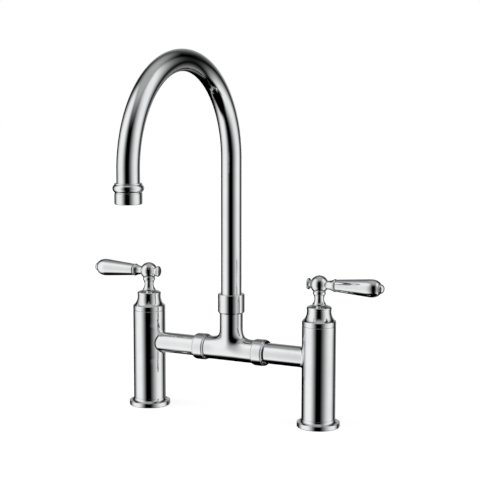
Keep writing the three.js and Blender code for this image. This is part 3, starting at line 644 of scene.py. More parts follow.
@dataclass(frozen=True)
class TurnedBrass(Finish):
    """Machined brass, a little tarnished, with the tool's fine rings."""

    name: str = "turned brass"
    slot: str = "brass"
    colour: Colour = (0.72, 0.55, 0.26)
    cloud_colour: Colour = (0.52, 0.38, 0.17)
    roughness: Span = (0.25, 0.42)
    cloud_scale: float = 120.0
    cloud_detail: float = 5.0
    metallic: float = 1.0
    relief: Relief = Relief.RINGS
    relief_scale: float = 1500.0
    relief_detail: float = 2.0
    relief_depth: float = 4e-6


CHROME = PolishedChrome()
BRASS = TurnedBrass()
CERAMIC = Finish(
    "lapped ceramic", "ceramic", (0.83, 0.81, 0.77), (0.78, 0.76, 0.72), (0.25, 0.35)
)
RUBBER = Finish(
    "black rubber", "rubber", (0.022, 0.022, 0.023), (0.035, 0.035, 0.036), (0.65, 0.85)
)
NYLON = Finish("white nylon", "nylon", (0.75, 0.76, 0.75), (0.70, 0.71, 0.70), (0.4, 0.5))
FINISHES = {finish.slot: finish for finish in (CHROME, BRASS, CERAMIC, RUBBER, NYLON)}


def show(mesh: bpy.types.Mesh, finish: Finish, body: str, *nodes: str) -> bpy.types.Object:
    """Puts a finished piece on the object in place of its plain solid.

    Args:
        mesh: the piece, in the frame's own coordinates.
        finish: its finish.
        body: the moving body it rides on.
        nodes: the plain solids it stands for.

    Returns:
        The shown piece.
    """
    piece = linked(mesh.name, mesh)
    mesh.materials.clear()
    mesh.materials.append(finish.material())
    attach(piece, body)
    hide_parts(*nodes)
    LOG.info("%s: %d faces, %s, on %s", piece.name, len(mesh.polygons), finish.name, body)
    return piece


# Round post with a round branch


@dataclass(frozen=True)
class Crossing:
    """Outside of a post along +Z and a branch that leaves it along +X through a fillet.

    The fillet is what a rolling ball leaves: the ball's middle and its two contacts follow from
    the radii, and the skin between the contacts is an arc of the ball. Round the fillet the
    post's wall is a patch with square corners.
    """

    post_radius: float
    branch_radius: float
    fillet: float
    patch_angle: float
    patch_height: float
    branch_run: float
    around: int = 128
    fillet_steps: int = 9
    rise: tuple[float, ...] = (1.0, 0.5, 0.1, 0.02)
    spread: tuple[float, ...] = (0.02, 0.08, 0.2, 0.4, 0.65, 1.0)

    @property
    def branch_angles(self) -> list[float]:
        """Angles round the branch, from +Y towards +Z, that start at a corner of the patch."""
        return [2 * math.pi * (i - self.around / 8) / self.around for i in range(self.around)]

    @property
    def front_angles(self) -> list[float]:
        """Angles round the post over the patch, from its right side to its left."""
        cells = self.around // 4
        return [self.patch_angle * (1 - 2 * j / cells) for j in range(cells + 1)]

    @property
    def back_angles(self) -> list[float]:
        """Angles round the post behind the patch, from its right side to its left.

        Returns:
            The angles, without those of the patch's own sides.
        """
        rest = math.pi - self.patch_angle
        cells = max(8, round(self.around // 4 * rest / self.patch_angle))
        return [self.patch_angle + 2 * rest * (j + 1) / cells for j in range(cells - 1)]

    def skin(self, below: Sequence[Point], above: Sequence[Point], tip: Sequence[Point]) -> Draft:
        """Builds the closed outside.

        Args:
            below: rows of the post under the patch, radius and height, from the foot upwards.
            above: rows of the post over the patch, upwards.
            tip: rows of the branch past the fillet, radius and distance along it.

        Returns:
            The draft of the closed outside.
        """
        draft = Draft()
        edge = self.add_patch(draft, self.add_branch(draft, tip))
        self.add_post(draft, edge, below, above)
        return draft

    def contacts(self, angle: float) -> tuple[Vector, Vector, Vector]:
        """Places the rolling ball.

        Args:
            angle: round the branch.

        Returns:
            The ball's middle, its contact with the branch and its contact with the post.
        """
        post, branch, ball = self.post_radius, self.branch_radius, self.fillet
        across = (branch + ball) * math.cos(angle)
        out = math.sqrt((post + ball) ** 2 - across**2)
        middle = Vector((out, across, (branch + ball) * math.sin(angle)))
        post_share, branch_share = post / (post + ball), branch / (branch + ball)
        on_branch = Vector((middle.x, middle.y * branch_share, middle.z * branch_share))
        on_post = Vector((middle.x * post_share, middle.y * post_share, middle.z))
        return middle, on_branch, on_post

    def patch_edge(self, angle: float) -> Point:
        """Finds the edge of the patch.

        Args:
            angle: round the branch.

        Returns:
            Angle round the post and height of the point on the edge.
        """
        quarter = angle / (math.pi / 2) + 0.5
        side = math.floor(quarter)
        along = 2 * (quarter - side) - 1
        width, height = self.patch_angle, self.patch_height
        edges = [(width, along * height), (-along * width, height)]
        edges += [(-width, -along * height), (along * width, -height)]
        return edges[side % 4]

    def add_branch(self, draft: Draft, tip: Sequence[Point]) -> list[int]:
        """Adds the branch and the fillet.

        Args:
            draft: gets the faces.
            tip: rows of the branch past the fillet.

        Returns:
            Numbers of the fillet's ring on the post.
        """
        placed = [self.contacts(a) for a in self.branch_angles]
        pole = draft.ring([Vector((tip[-1][1], 0, 0))])[0]
        rows = [
            draft.ring([Vector((x, r * math.cos(a), r * math.sin(a))) for a in self.branch_angles])
            for r, x in reversed(tip)
        ]
        run = self.branch_radius + self.fillet + self.branch_run
        for share in self.rise:
            level = [p.lerp(Vector((max(run, p.x), p.y, p.z)), share) for _, p, _ in placed]
            rows.append(draft.ring(level))
        for step in range(self.fillet_steps + 1):
            rows.append(draft.ring([swept(*spot, step / self.fillet_steps) for spot in placed]))
        draft.fan(rows[0], pole, upward=False)
        for first, second in zip(rows, rows[1:]):
            draft.bridge(first, second)
        return rows[-1]

    def add_patch(self, draft: Draft, hole: list[int]) -> list[int]:
        """Adds the patch.

        Args:
            draft: gets the faces.
            hole: numbers of the fillet's ring on the post.

        Returns:
            Numbers of the patch's edge.
        """
        flat = [(math.atan2(p.y, p.x), p.z) for p in (draft.points[n] for n in hole)]
        edge = [self.patch_edge(a) for a in self.branch_angles]
        previous = hole
        for share in self.spread:
            level = [
                polar(self.post_radius, a0 + (a1 - a0) * share, h0 + (h1 - h0) * share)
                for (a0, h0), (a1, h1) in zip(flat, edge)
            ]
            ring = draft.ring(level)
            draft.bridge(previous, ring)
            previous = ring
        return previous

    def add_post(
        self, draft: Draft, edge: list[int], below: Sequence[Point], above: Sequence[Point]
    ) -> None:
        """Adds the rest of the post.

        Args:
            draft: gets the faces.
            edge: numbers of the patch's edge.
            below: rows under the patch.
            above: rows over the patch.
        """
        k = self.around // 4
        right, top, left = edge[: k + 1], edge[k : 2 * k + 1], edge[2 * k : 3 * k + 1]
        bottom = edge[3 * k :] + edge[:1]
        rows = []
        for start, end in zip(right, reversed(left)):
            height = draft.points[start].z
            back = draft.ring([polar(self.post_radius, a, height) for a in self.back_angles])
            rows.append([start, *back, end])
        for lower, upper in zip(rows, rows[1:]):
            draft.bridge(lower, upper, closed=False)
        self.add_end(draft, [*rows[-1], *reversed(top[1:-1])], above, upward=True)
        self.add_end(draft, [*rows[0], *bottom[1:-1]], below[::-1], upward=False)

    def add_end(
        self, draft: Draft, start: list[int], rows: Sequence[Point], upward: bool
    ) -> None:
        """Adds full rings of the post from the patch to an end, and closes the end.

        Args:
            draft: gets the faces.
            start: numbers of the ring that the rows go on from.
            rows: radius and height of each ring.
            upward: whether the rows climb.
        """
        first, *middle, last = self.front_angles
        angles = [first, *self.back_angles, last, *reversed(middle)]
        previous = start
        for radius, height in rows:
            ring = draft.ring([polar(radius, a, height) for a in angles])
            draft.bridge(*((previous, ring) if upward else (ring, previous)))
            previous = ring
        pole = draft.ring([Vector((0, 0, rows[-1][1]))])[0]
        draft.fan(previous, pole, upward=upward)


# Sub-assemblies


@dataclass
class Pillar:
    """Deck flange, column with its side arm, and trumpet bonnet of one side."""

    side: Side
    column_radius: float = 17.5
    spigot_radius: float = 15.4
    flange_height: float = 8.6
    arm_radius: float = 10.9
    arm_fillet: float = 2.5
    arm_end: float = 65.75
    tail_radius: float = 12.3
    tail_length: float = 2.2
    crown: float = 127.4

    def build(self) -> None:
        """Builds and dresses the pieces of the pillar."""
        place = shifted(self.side.axis_x)
        self.show(self.flange().mesh(f"{self.side.label}_flange", place), "base_flange")
        turn = Matrix.Rotation(math.pi if self.side is Side.RIGHT else 0.0, 4, "Z")
        self.show(self.column(place @ turn), "pillar")
        self.show(self.bonnet().mesh(f"{self.side.label}_trumpet_bonnet", place), "bonnet")

    def show(self, mesh: bpy.types.Mesh, node: str) -> None:
        """Puts a mesh on the frame in place of one of this side's solids."""
        show(mesh, CHROME, "frame", f"{self.side.label}_{node}")

    def flange(self) -> Draft:
        """Turned foot ring: an upright rim and a wide cove up to the column.

        Returns:
            The draft of the ring.
        """
        top = self.flange_height
        foot = corners((15.7, 0), (16.6, 0), (16.6, 2.1), (19.8, 2.1), (19.8, 0))
        rim = corners((21.9, 0, 0.3), (22.3, 0.6, 0.3), (22.3, 5.0, 0.4), (21.4, 5.03, 0.2))
        cove = curve((21.0, 5.04), (18.0, 5.2), (17.54, top - 0.1), steps=20)
        return turned([*foot, *rim, *cove, *corners((17.4, top), (15.7, top))], closed=True)

    def column(self, place: Matrix) -> bpy.types.Mesh:
        """Column and arm in one, bored for the valve and the waterways.

        Args:
            place: moves the pillar to its side, with the arm towards the middle.

        Returns:
            The mesh of the column.
        """
        crossing = Crossing(
            post_radius=self.column_radius * MM,
            branch_radius=self.arm_radius * MM,
            fillet=self.arm_fillet * MM,
            patch_angle=math.radians(64),
            patch_height=19 * MM,
            branch_run=4 * MM,
        )
        radius, foot, top = self.column_radius, self.flange_height + 0.1, PILLAR_HEIGHT / MM
        below = [(self.spigot_radius, 0.4), (self.spigot_radius, foot)]
        below += [(radius, foot), (radius, foot + 0.25), (radius, 46)]
        above = [(radius, 95), (radius, top - 0.5), (radius - 0.08, top - 0.22)]
        above += [(radius - 0.3, top), (radius - 0.6, top)]
        neck = self.arm_end - self.tail_length
        tip = [(self.arm_radius, 30), (self.arm_radius, neck)]
        tip += [(self.tail_radius, neck), (self.tail_radius, self.arm_end)]
        axis = BRIDGE_HEIGHT / MM
        skin = crossing.skin(in_metres(below, -axis), in_metres(above, -axis), in_metres(tip))
        raised = place @ shifted(z=BRIDGE_HEIGHT)
        return carved(skin.mesh(f"{self.side.label}_column", raised), self.bores(place, raised))

    def bores(self, place: Matrix, raised: Matrix) -> list[bpy.types.Mesh]:
        """Makes what is cut from the column.

        Args:
            place: of the column's foot.
            raised: of the arm's axis.

        Returns:
            The waterway with the valve chamber, and the arm's bore.
        """
        waterway = [(0, -1), (11.6, -1), (11.6, 16), (5.5, 16), (5.5, 60), (11.2, 60)]
        chamber = [(11.2, 96.2), (13.6, 96.2), (13.6, 107), (0, 107)]
        bore = [(0, 0), (6.5, 0), (6.5, self.arm_end + 1), (0, self.arm_end + 1)]
        along = raised @ turned_to(Vector((1, 0, 0)))
        return [drill("waterway", place, *waterway, *chamber), drill("arm bore", along, *bore)]

    def bonnet(self) -> Draft:
        """Trumpet-shaped cap, hollow round the cartridge.

        Returns:
            The draft of the cap.
        """
        seam, crown = PILLAR_HEIGHT / MM, self.crown
        skirt = corners((11.3, seam - 9.3), (13.3, seam - 9.3), (13.3, seam + 0.1))
        band = corners((17.2, seam + 0.1, 0.2), (17.5, seam + 0.4, 0.3), (17.5, seam + 5.0, 0.25))
        tight, wide = (17.25, seam + 5.4), (12.55, seam + 13.8)
        flare = curve(tight, (14.6, seam + 6.9), (13.0, seam + 10.5), wide, steps=22)
        neck = corners((12.55, seam + 16.5, 0.4), (12.85, seam + 17.8, 0.5))
        lip = corners((12.85, seam + 19.3, 0.9), (12.0, seam + 20.0, 0.6), (7.4, crown, 0.8))
        bore = corners((4.8, crown), (4.8, 124), (10.25, 124), (10.25, 112.9), (11.3, 110.8))
        return turned([*skirt, *band, *flare, *neck, *lip, *bore], closed=True)


@dataclass
class Lever:
    """Ball hub, rod, swelling grip, end nut and plug of one side's lever."""

    side: Side
    back_angle: float = 1.4
    ball_radius: float = 9.4
    ball_rise: float = 20.85

    def build(self) -> None:
        """Builds and dresses the pieces of the lever."""
        label, x = self.side.label, self.side.axis_x
        angle = math.radians(self.back_angle)
        along = Vector((self.side.value * math.cos(angle), math.sin(angle), 0))
        ball = shifted(x, 0, LEVER_HEIGHT)
        outward, inward = ball @ turned_to(along), ball @ turned_to(-along)
        foot = shifted(x, 0, LEVER_HEIGHT - self.ball_rise * MM)
        self.show(self.hub(foot, outward, inward), "lever_hub")
        self.show(self.rod().mesh(f"{label}_lever_stem", outward), "lever_rod")
        self.show(self.grip().mesh(f"{label}_handle", outward), "lever_grip")
        self.show(self.end_nut().mesh(f"{label}_end_nut", outward), "lever_finial")
        self.show(self.plug().mesh(f"{label}_plug", inward), "hub_button")

    def show(self, mesh: bpy.types.Mesh, node: str) -> None:
        """Puts a mesh on the lever in place of one of its solids."""
        show(mesh, CHROME, f"{self.side.label}_lever", f"{self.side.label}_{node}")

    def hub(self, foot: Matrix, outward: Matrix, inward: Matrix) -> bpy.types.Mesh:
        """Waisted skirt, ring and ball, bored for the spline, the stem and the plug.

        Args:
            foot: place of the hub's foot.
            outward: place of the ball, with +Z along the lever.
            inward: the same, with +Z away from the lever.

        Returns:
            The mesh of the hub.
        """
        skirt = corners((3.9, 0), (7.0, 0, 0.2), (7.0, 0.9, 0.3))
        waist = curve((6.65, 1.2), (3.5, 5.65), (6.15, 10.4), steps=24)
        ring = corners((6.3, 10.55, 0.1), (6.6, 10.9, 0.4), (6.6, 13.2, 0.4), (6.25, 13.6, 0.1))
        start = -math.degrees(math.acos(6.2 / self.ball_radius))
        ball = arc((0, self.ball_rise), self.ball_radius, start, 90, steps=40)
        bore = corners((0, 23.45), (3.9, 23.45))
        body = turned([*skirt, *waist, *ring, *ball, *bore], closed=True)
        rod = drill("rod", outward, (0, 5.2), (3.3, 5.2), (3.3, 12), (0, 12), sides=48)
        stem = drill("stem", inward, (0, 3.5), (2.3, 3.5), (2.3, 12), (0, 12), sides=48)
        return carved(body.mesh(f"{self.side.label}_ball_hub", foot), [rod, stem])

    def rod(self) -> Draft:
        """Tenon, cone and bead, and the long rod inside the grip.

        Returns:
            The draft of the rod, with +Z along the lever from the ball's middle.
        """
        tenon = corners((0, 5.3), (3.0, 5.3), (3.0, 8.9), (3.3, 8.9), (4.45, 8.4))
        cone = curve((4.55, 8.5), (4.6, 11.5), (5.1, 13.6), (6.1, 15.8), steps=16)
        bead = arc((5.45, 17.2), 1.3, -58, 70, steps=14)
        core = corners((2.5, 18.7), (2.5, 68.2), (0, 68.2))
        return turned([*tenon, *cone, *bead, *core], sides=96)

    def grip(self) -> Draft:
        """Long cone that rounds in on the end nut.

        Returns:
            The draft of the grip.
        """
        root = corners((2.8, 18.8), (6.05, 18.8, 0.3), (6.35, 19.4, 0.3))
        swell = curve((9.05, 52.4), (9.36, 56.0), (9.4, 59.3), (8.9, 62.6), (6.2, 65.0), steps=30)
        return turned([*root, *swell, *corners((5.6, 65.1), (2.8, 65.1))], closed=True, sides=96)

    def end_nut(self) -> Draft:
        """Small domed nut.

        Returns:
            The draft of the nut.
        """
        dome = curve((4.85, 65.5), (5.2, 66.2), (4.9, 68.0), (3.3, 69.9), (0, 69.9), steps=20)
        seat = corners((0, 68.4), (2.8, 68.4), (2.8, 65.2), (4.6, 65.2))
        return turned([*seat, *dome], sides=64)

    def plug(self) -> Draft:
        """Domed button on a neck, over the stem that covers the grub screw.

        Returns:
            The draft of the plug, with +Z away from the lever.
        """
        stem = corners((0, 7.0), (2.0, 7.0), (2.0, 9.25), (2.3, 9.25), (4.2, 8.55))
        rim = corners((4.2, 10.5, 0.3), (5.4, 10.8, 0.2), (5.9, 11.2, 0.3), (5.9, 12.1, 0.2))
        dome = curve((5.7, 12.4), (4.4, 13.4), (2.2, 13.4), (0, 13.4), steps=16)
        return turned([*stem, *rim, *dome], sides=64)


@dataclass
class Bridge:
    """Tee in the middle, the union nut on each side and the nut under the spout."""

    tee_radius: float = 12.3
    branch_radius: float = 12.25
    fillet: float = 6.8
    melt_at_front: float = 6.5
    melt_at_crotch: float = 15.5
    fade_start: float = 4.0
    fade_rate: float = 1.6
    settle_limit: float = 4.0
    melt_divisor: float = 6.0
    run_end: float = 34.15
    branch_top: float = 121.0
    union_place: float = 35.0

    def build(self) -> None:
        """Builds and dresses the pieces of the bridge."""
        show(self.tee(), CHROME, "frame", "tee_body")
        show(self.spout_nut().mesh("swivel_nut"), CHROME, "frame", "spout_nut")
        for side in Side:
            place = shifted(side.value * self.union_place * MM, 0, BRIDGE_HEIGHT)
            place @= turned_to(Vector((side.value, 0, 0)))
            nut = self.union_nut().mesh(f"{side.label}_union", place)
            show(nut, CHROME, "frame", f"{side.label}_union_nut")

    def melted_gap(self, point: Vector) -> float:
        """Measures how far a point is from the skin of run and branch melted into each other.

        Args:
            point: with the run along its Z and the branch along its +X.

        Returns:
            The distance, less than 0 inside the tee.
        """
        run = math.hypot(point.x, point.y) - self.tee_radius * MM
        below = self.fade_rate * min(point.x - self.fade_start * MM, 0.0)
        branch = math.hypot(below, point.y, point.z) - self.branch_radius * MM
        crotch = point.z**2 / max(point.y**2 + point.z**2, LEAST_SQUARE)
        reach = (self.melt_at_front + (self.melt_at_crotch - self.melt_at_front) * crotch) * MM
        near = max(reach - abs(run - branch), 0.0) / reach
        return min(run, branch) - near**3 * reach / self.melt_divisor

    def tee(self) -> bpy.types.Mesh:
        """Run and branch melted into each other, bored through.

        Returns:
            The mesh of the tee.
        """
        crossing = Crossing(
            post_radius=self.tee_radius * MM,
            branch_radius=self.branch_radius * MM,
            fillet=self.fillet * MM,
            patch_angle=math.radians(118),
            patch_height=26 * MM,
            branch_run=8 * MM,
            around=160,
            fillet_steps=14,
            rise=(1.0, 0.84, 0.69, 0.55, 0.42, 0.3, 0.2, 0.12, 0.06, 0.02),
            spread=(0.02, 0.06, 0.12, 0.2, 0.3, 0.42, 0.55, 0.69, 0.84, 1.0),
        )
        top = self.branch_top - BRIDGE_HEIGHT / MM
        right = [(self.tee_radius, 28), (self.tee_radius, self.run_end)]
        left = [(radius, -along) for radius, along in reversed(right)]
        branch = [(self.branch_radius, 36), (self.branch_radius, top)]
        skin = crossing.skin(in_metres(left), in_metres(right), in_metres(branch))
        skin.settle(self.melted_gap, self.settle_limit * MM)
        swap = Matrix(((0, 0, 1, 0), (0, -1, 0, 0), (1, 0, 0, 0), (0, 0, 0, 1)))
        centre = shifted(z=BRIDGE_HEIGHT)
        along = centre @ turned_to(Vector((1, 0, 0)))
        socket = [(9.3, 20.6), (9.3, top + 1), (0, top + 1)]
        tools = [
            drill("run bore", along, (0, -36), (7.5, -36), (7.5, 36), (0, 36)),
            drill("branch bore", centre, (0, 0), (7.5, 0), (7.5, 20.6), *socket),
        ]
        return carved(skin.mesh("tee", centre @ swap), tools)

    def union_nut(self) -> Draft:
        """Round nut with a small ring at each end.

        Returns:
            The draft of the nut, with +Z from the tee to the pillar.
        """
        tee_end = corners((12.6, -7.0), (13.1, -7.0, 0.25), (13.3, -6.7, 0.25), (13.3, -5.8, 0.3))
        groove = corners((12.85, -5.5, 0.1))
        body = corners((13.5, -5.5, 0.1), (14.05, -4.9, 0.6), (14.05, 4.9, 0.6), (13.5, 5.5, 0.1))
        far_groove = corners((12.85, 5.5, 0.1), (13.3, 5.8, 0.3))
        far_end = corners((13.3, 6.7, 0.25), (13.1, 7.0, 0.25), (11.2, 7.0))
        seat = corners((11.2, 3.15), (12.6, 3.15))
        outline = [*tee_end, *groove, *body, *far_groove, *far_end, *seat]
        return turned(outline, closed=True)

    def spout_nut(self) -> Draft:
        """Tall round nut with a chamfered foot and a rounded top.

        Returns:
            The draft of the nut.
        """
        foot = corners((12.6, 110.4), (13.1, 110.6, 0.2), (14.15, 112.0, 0.7))
        top = corners((14.15, 131.1, 0.8), (11.1, 131.1), (11.1, 125.3), (12.6, 125.3))
        return turned([*foot, *top], closed=True)


@dataclass
class Spout:
    """Gooseneck tube and its outlet."""

    tube_radius: float = 10.8
    wall: float = 1.3
    foot: float = 123.8
    tube_end: float = 14.5
    arc_steps: int = 120
    tube_sides: int = 96
    insert_radius: float = 9.6
    insert_base: float = 2.5
    insert_thickness: float = 8.2
    jet_radius: float = 0.72
    jet_pitch: float = 2.15
    jet_field: float = 7.9

    def build(self) -> None:
        """Builds and dresses the pieces of the spout."""
        show(self.tube(), CHROME, "spout", "spout_tube")
        outlet = shifted(0, -SPOUT_REACH, MOUTH_HEIGHT)
        show(self.collar().mesh("outlet_ring", outlet), CHROME, "spout", "outlet_collar")
        show(self.housing().mesh("aerator_sleeve", outlet), CHROME, "spout", "aerator_housing")
        show(self.jet_plate(outlet), NYLON, "spout", "aerator_insert")

    def tube(self) -> bpy.types.Mesh:
        """Runs the tree that follows the gooseneck's middle line.

        Returns:
            The mesh of the tube.
        """
        values = {
            "Bend Radius": SPOUT_REACH / 2,
            "Bend Height": SPOUT_ARC_HEIGHT,
            "Riser": SPOUT_ARC_HEIGHT - self.foot * MM,
            "Drop": SPOUT_ARC_HEIGHT - MOUTH_HEIGHT - self.tube_end * MM,
            "Outer Radius": self.tube_radius * MM,
            "Bore Radius": (self.tube_radius - self.wall) * MM,
            "Bend Steps": self.arc_steps,
            "Sides": self.tube_sides,
        }
        return GooseneckTree().grown("gooseneck", values, CHROME, Matrix.Identity(4))

    def collar(self) -> Draft:
        """Shoulder ring and bead at the end of the tube.

        Returns:
            The draft of the ring, with its heights above the mouth.
        """
        seam = corners((11.6, 10.2), (12.45, 10.2, 0.15), (12.45, 11.0, 0.2))
        bead = arc((10.1, 14.7), 4.4, -50, 50, steps=24)
        shoulder = corners((12.6, 18.2, 0.1), (12.8, 18.5, 0.2), (12.8, 19.4, 0.4))
        inside = corners((11.1, 19.4), (11.1, 14.4), (9.2, 14.4), (9.2, 13.4), (11.6, 13.4))
        return turned([*seam, *bead, *shoulder, *inside], closed=True)

    def housing(self) -> Draft:
        """Sleeve of the aerator, with its spigot inside the collar.

        Returns:
            The draft of the sleeve, with its heights above the mouth.
        """
        mouth = corners((8.7, 0, 0.3), (12.78, 0, 0.9), (12.78, 10.1, 0.3), (11.3, 10.1))
        inside = corners((11.3, 13.3), (9.9, 13.3), (9.9, 2.4), (8.7, 2.4))
        return turned([*mouth, *inside], closed=True)

    def jet_plate(self, outlet: Matrix) -> bpy.types.Mesh:
        """Runs the tree that drills the jets.

        Args:
            outlet: place of the mouth.

        Returns:
            The mesh of the plate.
        """
        values = {
            "Plate Radius": self.insert_radius * MM,
            "Thickness": self.insert_thickness * MM,
            "Jet Radius": self.jet_radius * MM,
            "Pitch": self.jet_pitch * MM,
            "Field Radius": self.jet_field * MM,
        }
        place = outlet @ shifted(z=(self.insert_base + self.insert_thickness / 2) * MM)
        return JetPlateTree().grown("jet_plate", values, NYLON, place)


class GrowingTree:
    """Geometry tree with named inputs that ends in Realize Instances and Set Material."""

    title = "growth"
    lengths: tuple[str, ...] = ()
    counts: tuple[str, ...] = ()

    def __init__(self) -> None:
        """Makes the tree, its inputs and its last nodes."""
        self.tree = bpy.data.node_groups.new(self.title, "GeometryNodeTree")
        face = self.tree.interface
        kinds = {name: "NodeSocketFloat" for name in self.lengths}
        kinds |= {name: "NodeSocketInt" for name in self.counts}
        for name, kind in (kinds | {"Finish": "NodeSocketMaterial"}).items():
            face.new_socket(name, in_out="INPUT", socket_type=kind)
        face.new_socket("Geometry", in_out="OUTPUT", socket_type="NodeSocketGeometry")
        self.wiring = w = Wiring(self.tree)
        self.inputs = w.node("NodeGroupInput").outputs
        realized = w.node("GeometryNodeRealizeInstances", {"Geometry": self.grow()})
        feeds = {"Geometry": realized.outputs[0], "Material": self.inputs["Finish"]}
        dressed = w.node("GeometryNodeSetMaterial", feeds)
        w.node("NodeGroupOutput", {"Geometry": dressed.outputs[0]})

    def grow(self) -> bpy.types.NodeSocket:
        """Wires the tree's own nodes and returns the geometry that they give."""
        raise NotImplementedError

    def grown(
        self, name: str, values: dict[str, float], finish: Finish, place: Matrix
    ) -> bpy.types.Mesh:
        """Runs the tree and keeps what it makes as a plain mesh.

        Args:
            name: of the mesh.
            values: sizes and counts by the name of their input.
            finish: set by the tree on what it makes.
            place: moves the mesh to where it belongs.

        Returns:
            The mesh.
        """
        host = linked(name, bpy.data.meshes.new(name))
        modifier = host.modifiers.new(name, "NODES")
        modifier.node_group = self.tree
        settings = {**values, "Finish": finish.material()}
        for item in self.tree.interface.items_tree:
            if item.in_out == "INPUT":
                modifier[item.identifier] = settings[item.name]
        made = baked(host)
        made.transform(place)
        return made


class GooseneckTree(GrowingTree):
    """Tube with a bore along a riser, a half circle and a drop.

    A flat grid is bent to the tube: its rows follow the middle line out along the outer wall and
    back along the bore, and its columns go round the section.
    """

    title = "gooseneck tube"
    lengths = ("Bend Radius", "Bend Height", "Riser", "Drop", "Outer Radius", "Bore Radius")
    counts = ("Bend Steps", "Sides")

    def grow(self) -> bpy.types.NodeSocket:
        """Wires the grid and its bending.

        Returns:
            The tube.
        """
        w, inputs, sides = self.wiring, self.inputs, self.inputs["Sides"]
        last = w.math("ADD", inputs["Bend Steps"], 2.0)
        loops = w.math("MULTIPLY_ADD", last, 2.0, 2.0)
        size = {"Size X": loops, "Size Y": sides}
        rows, columns = w.math("ADD", loops, 1.0), w.math("ADD", sides, 1.0)
        size |= {"Vertices X": rows, "Vertices Y": columns}
        grid = w.node("GeometryNodeMeshGrid", size)
        position = w.node("GeometryNodeInputPosition").outputs[0]
        spot = w.node("ShaderNodeSeparateXYZ", {0: position}).outputs
        raw = w.math("ROUND", w.math("MULTIPLY_ADD", loops, 0.5, spot["X"]))
        row = w.math("MODULO", raw, loops)
        column = w.math("MULTIPLY_ADD", sides, 0.5, spot["Y"])
        inner = w.math("GREATER_THAN", row, w.math("ADD", last, 0.5))
        folded = w.math("SUBTRACT", w.math("SUBTRACT", loops, 1.0), row)
        step = self.blend(inner, row, folded)
        radius = self.blend(inner, inputs["Outer Radius"], inputs["Bore Radius"])
        turn = w.math("DIVIDE", w.math("MULTIPLY", column, 2 * math.pi), sides)
        feeds = {"Geometry": grid.outputs["Mesh"], "Position": self.place(step, radius, turn)}
        moved = w.node("GeometryNodeSetPosition", feeds)
        feeds = {"Geometry": moved.outputs[0], "Distance": MERGE_GAP}
        return w.node("GeometryNodeMergeByDistance", feeds).outputs[0]

    def blend(self, factor: object, first: object, second: object) -> bpy.types.NodeSocket:
        """First value where the factor is 0 and second where it is 1."""
        w = self.wiring
        return w.math("MULTIPLY_ADD", factor, w.math("SUBTRACT", second, first), first)

    def place(self, step: object, radius: object, turn: object) -> bpy.types.NodeSocket:
        """Finds a point of the tube.

        Args:
            step: number of the section along the middle line.
            radius: distance from the middle line.
            turn: angle round the section.

        Returns:
            The point.
        """
        w, inputs = self.wiring, self.inputs
        steps = inputs["Bend Steps"]
        past = w.math("SUBTRACT", step, 1.0)
        held = w.math("MINIMUM", w.math("MAXIMUM", past, 0.0), steps)
        bend = w.math("DIVIDE", w.math("MULTIPLY", held, math.pi), steps)
        before = w.math("MAXIMUM", w.math("SUBTRACT", 1.0, step), 0.0)
        riser = w.math("MULTIPLY", before, inputs["Riser"])
        beyond = w.math("MAXIMUM", w.math("SUBTRACT", past, steps), 0.0)
        drop = w.math("MULTIPLY", beyond, inputs["Drop"])
        outward = w.math("MULTIPLY", radius, w.math("SINE", turn))
        reach = w.math("ADD", inputs["Bend Radius"], outward)
        across = w.math("MULTIPLY", radius, w.math("COSINE", turn))
        ahead = w.math("MULTIPLY", reach, w.math("COSINE", bend))
        away = w.math("SUBTRACT", ahead, inputs["Bend Radius"])
        rise = w.math("MULTIPLY_ADD", reach, w.math("SINE", bend), inputs["Bend Height"])
        height = w.math("SUBTRACT", w.math("SUBTRACT", rise, riser), drop)
        return w.node("ShaderNodeCombineXYZ", {0: across, 1: away, 2: height}).outputs[0]


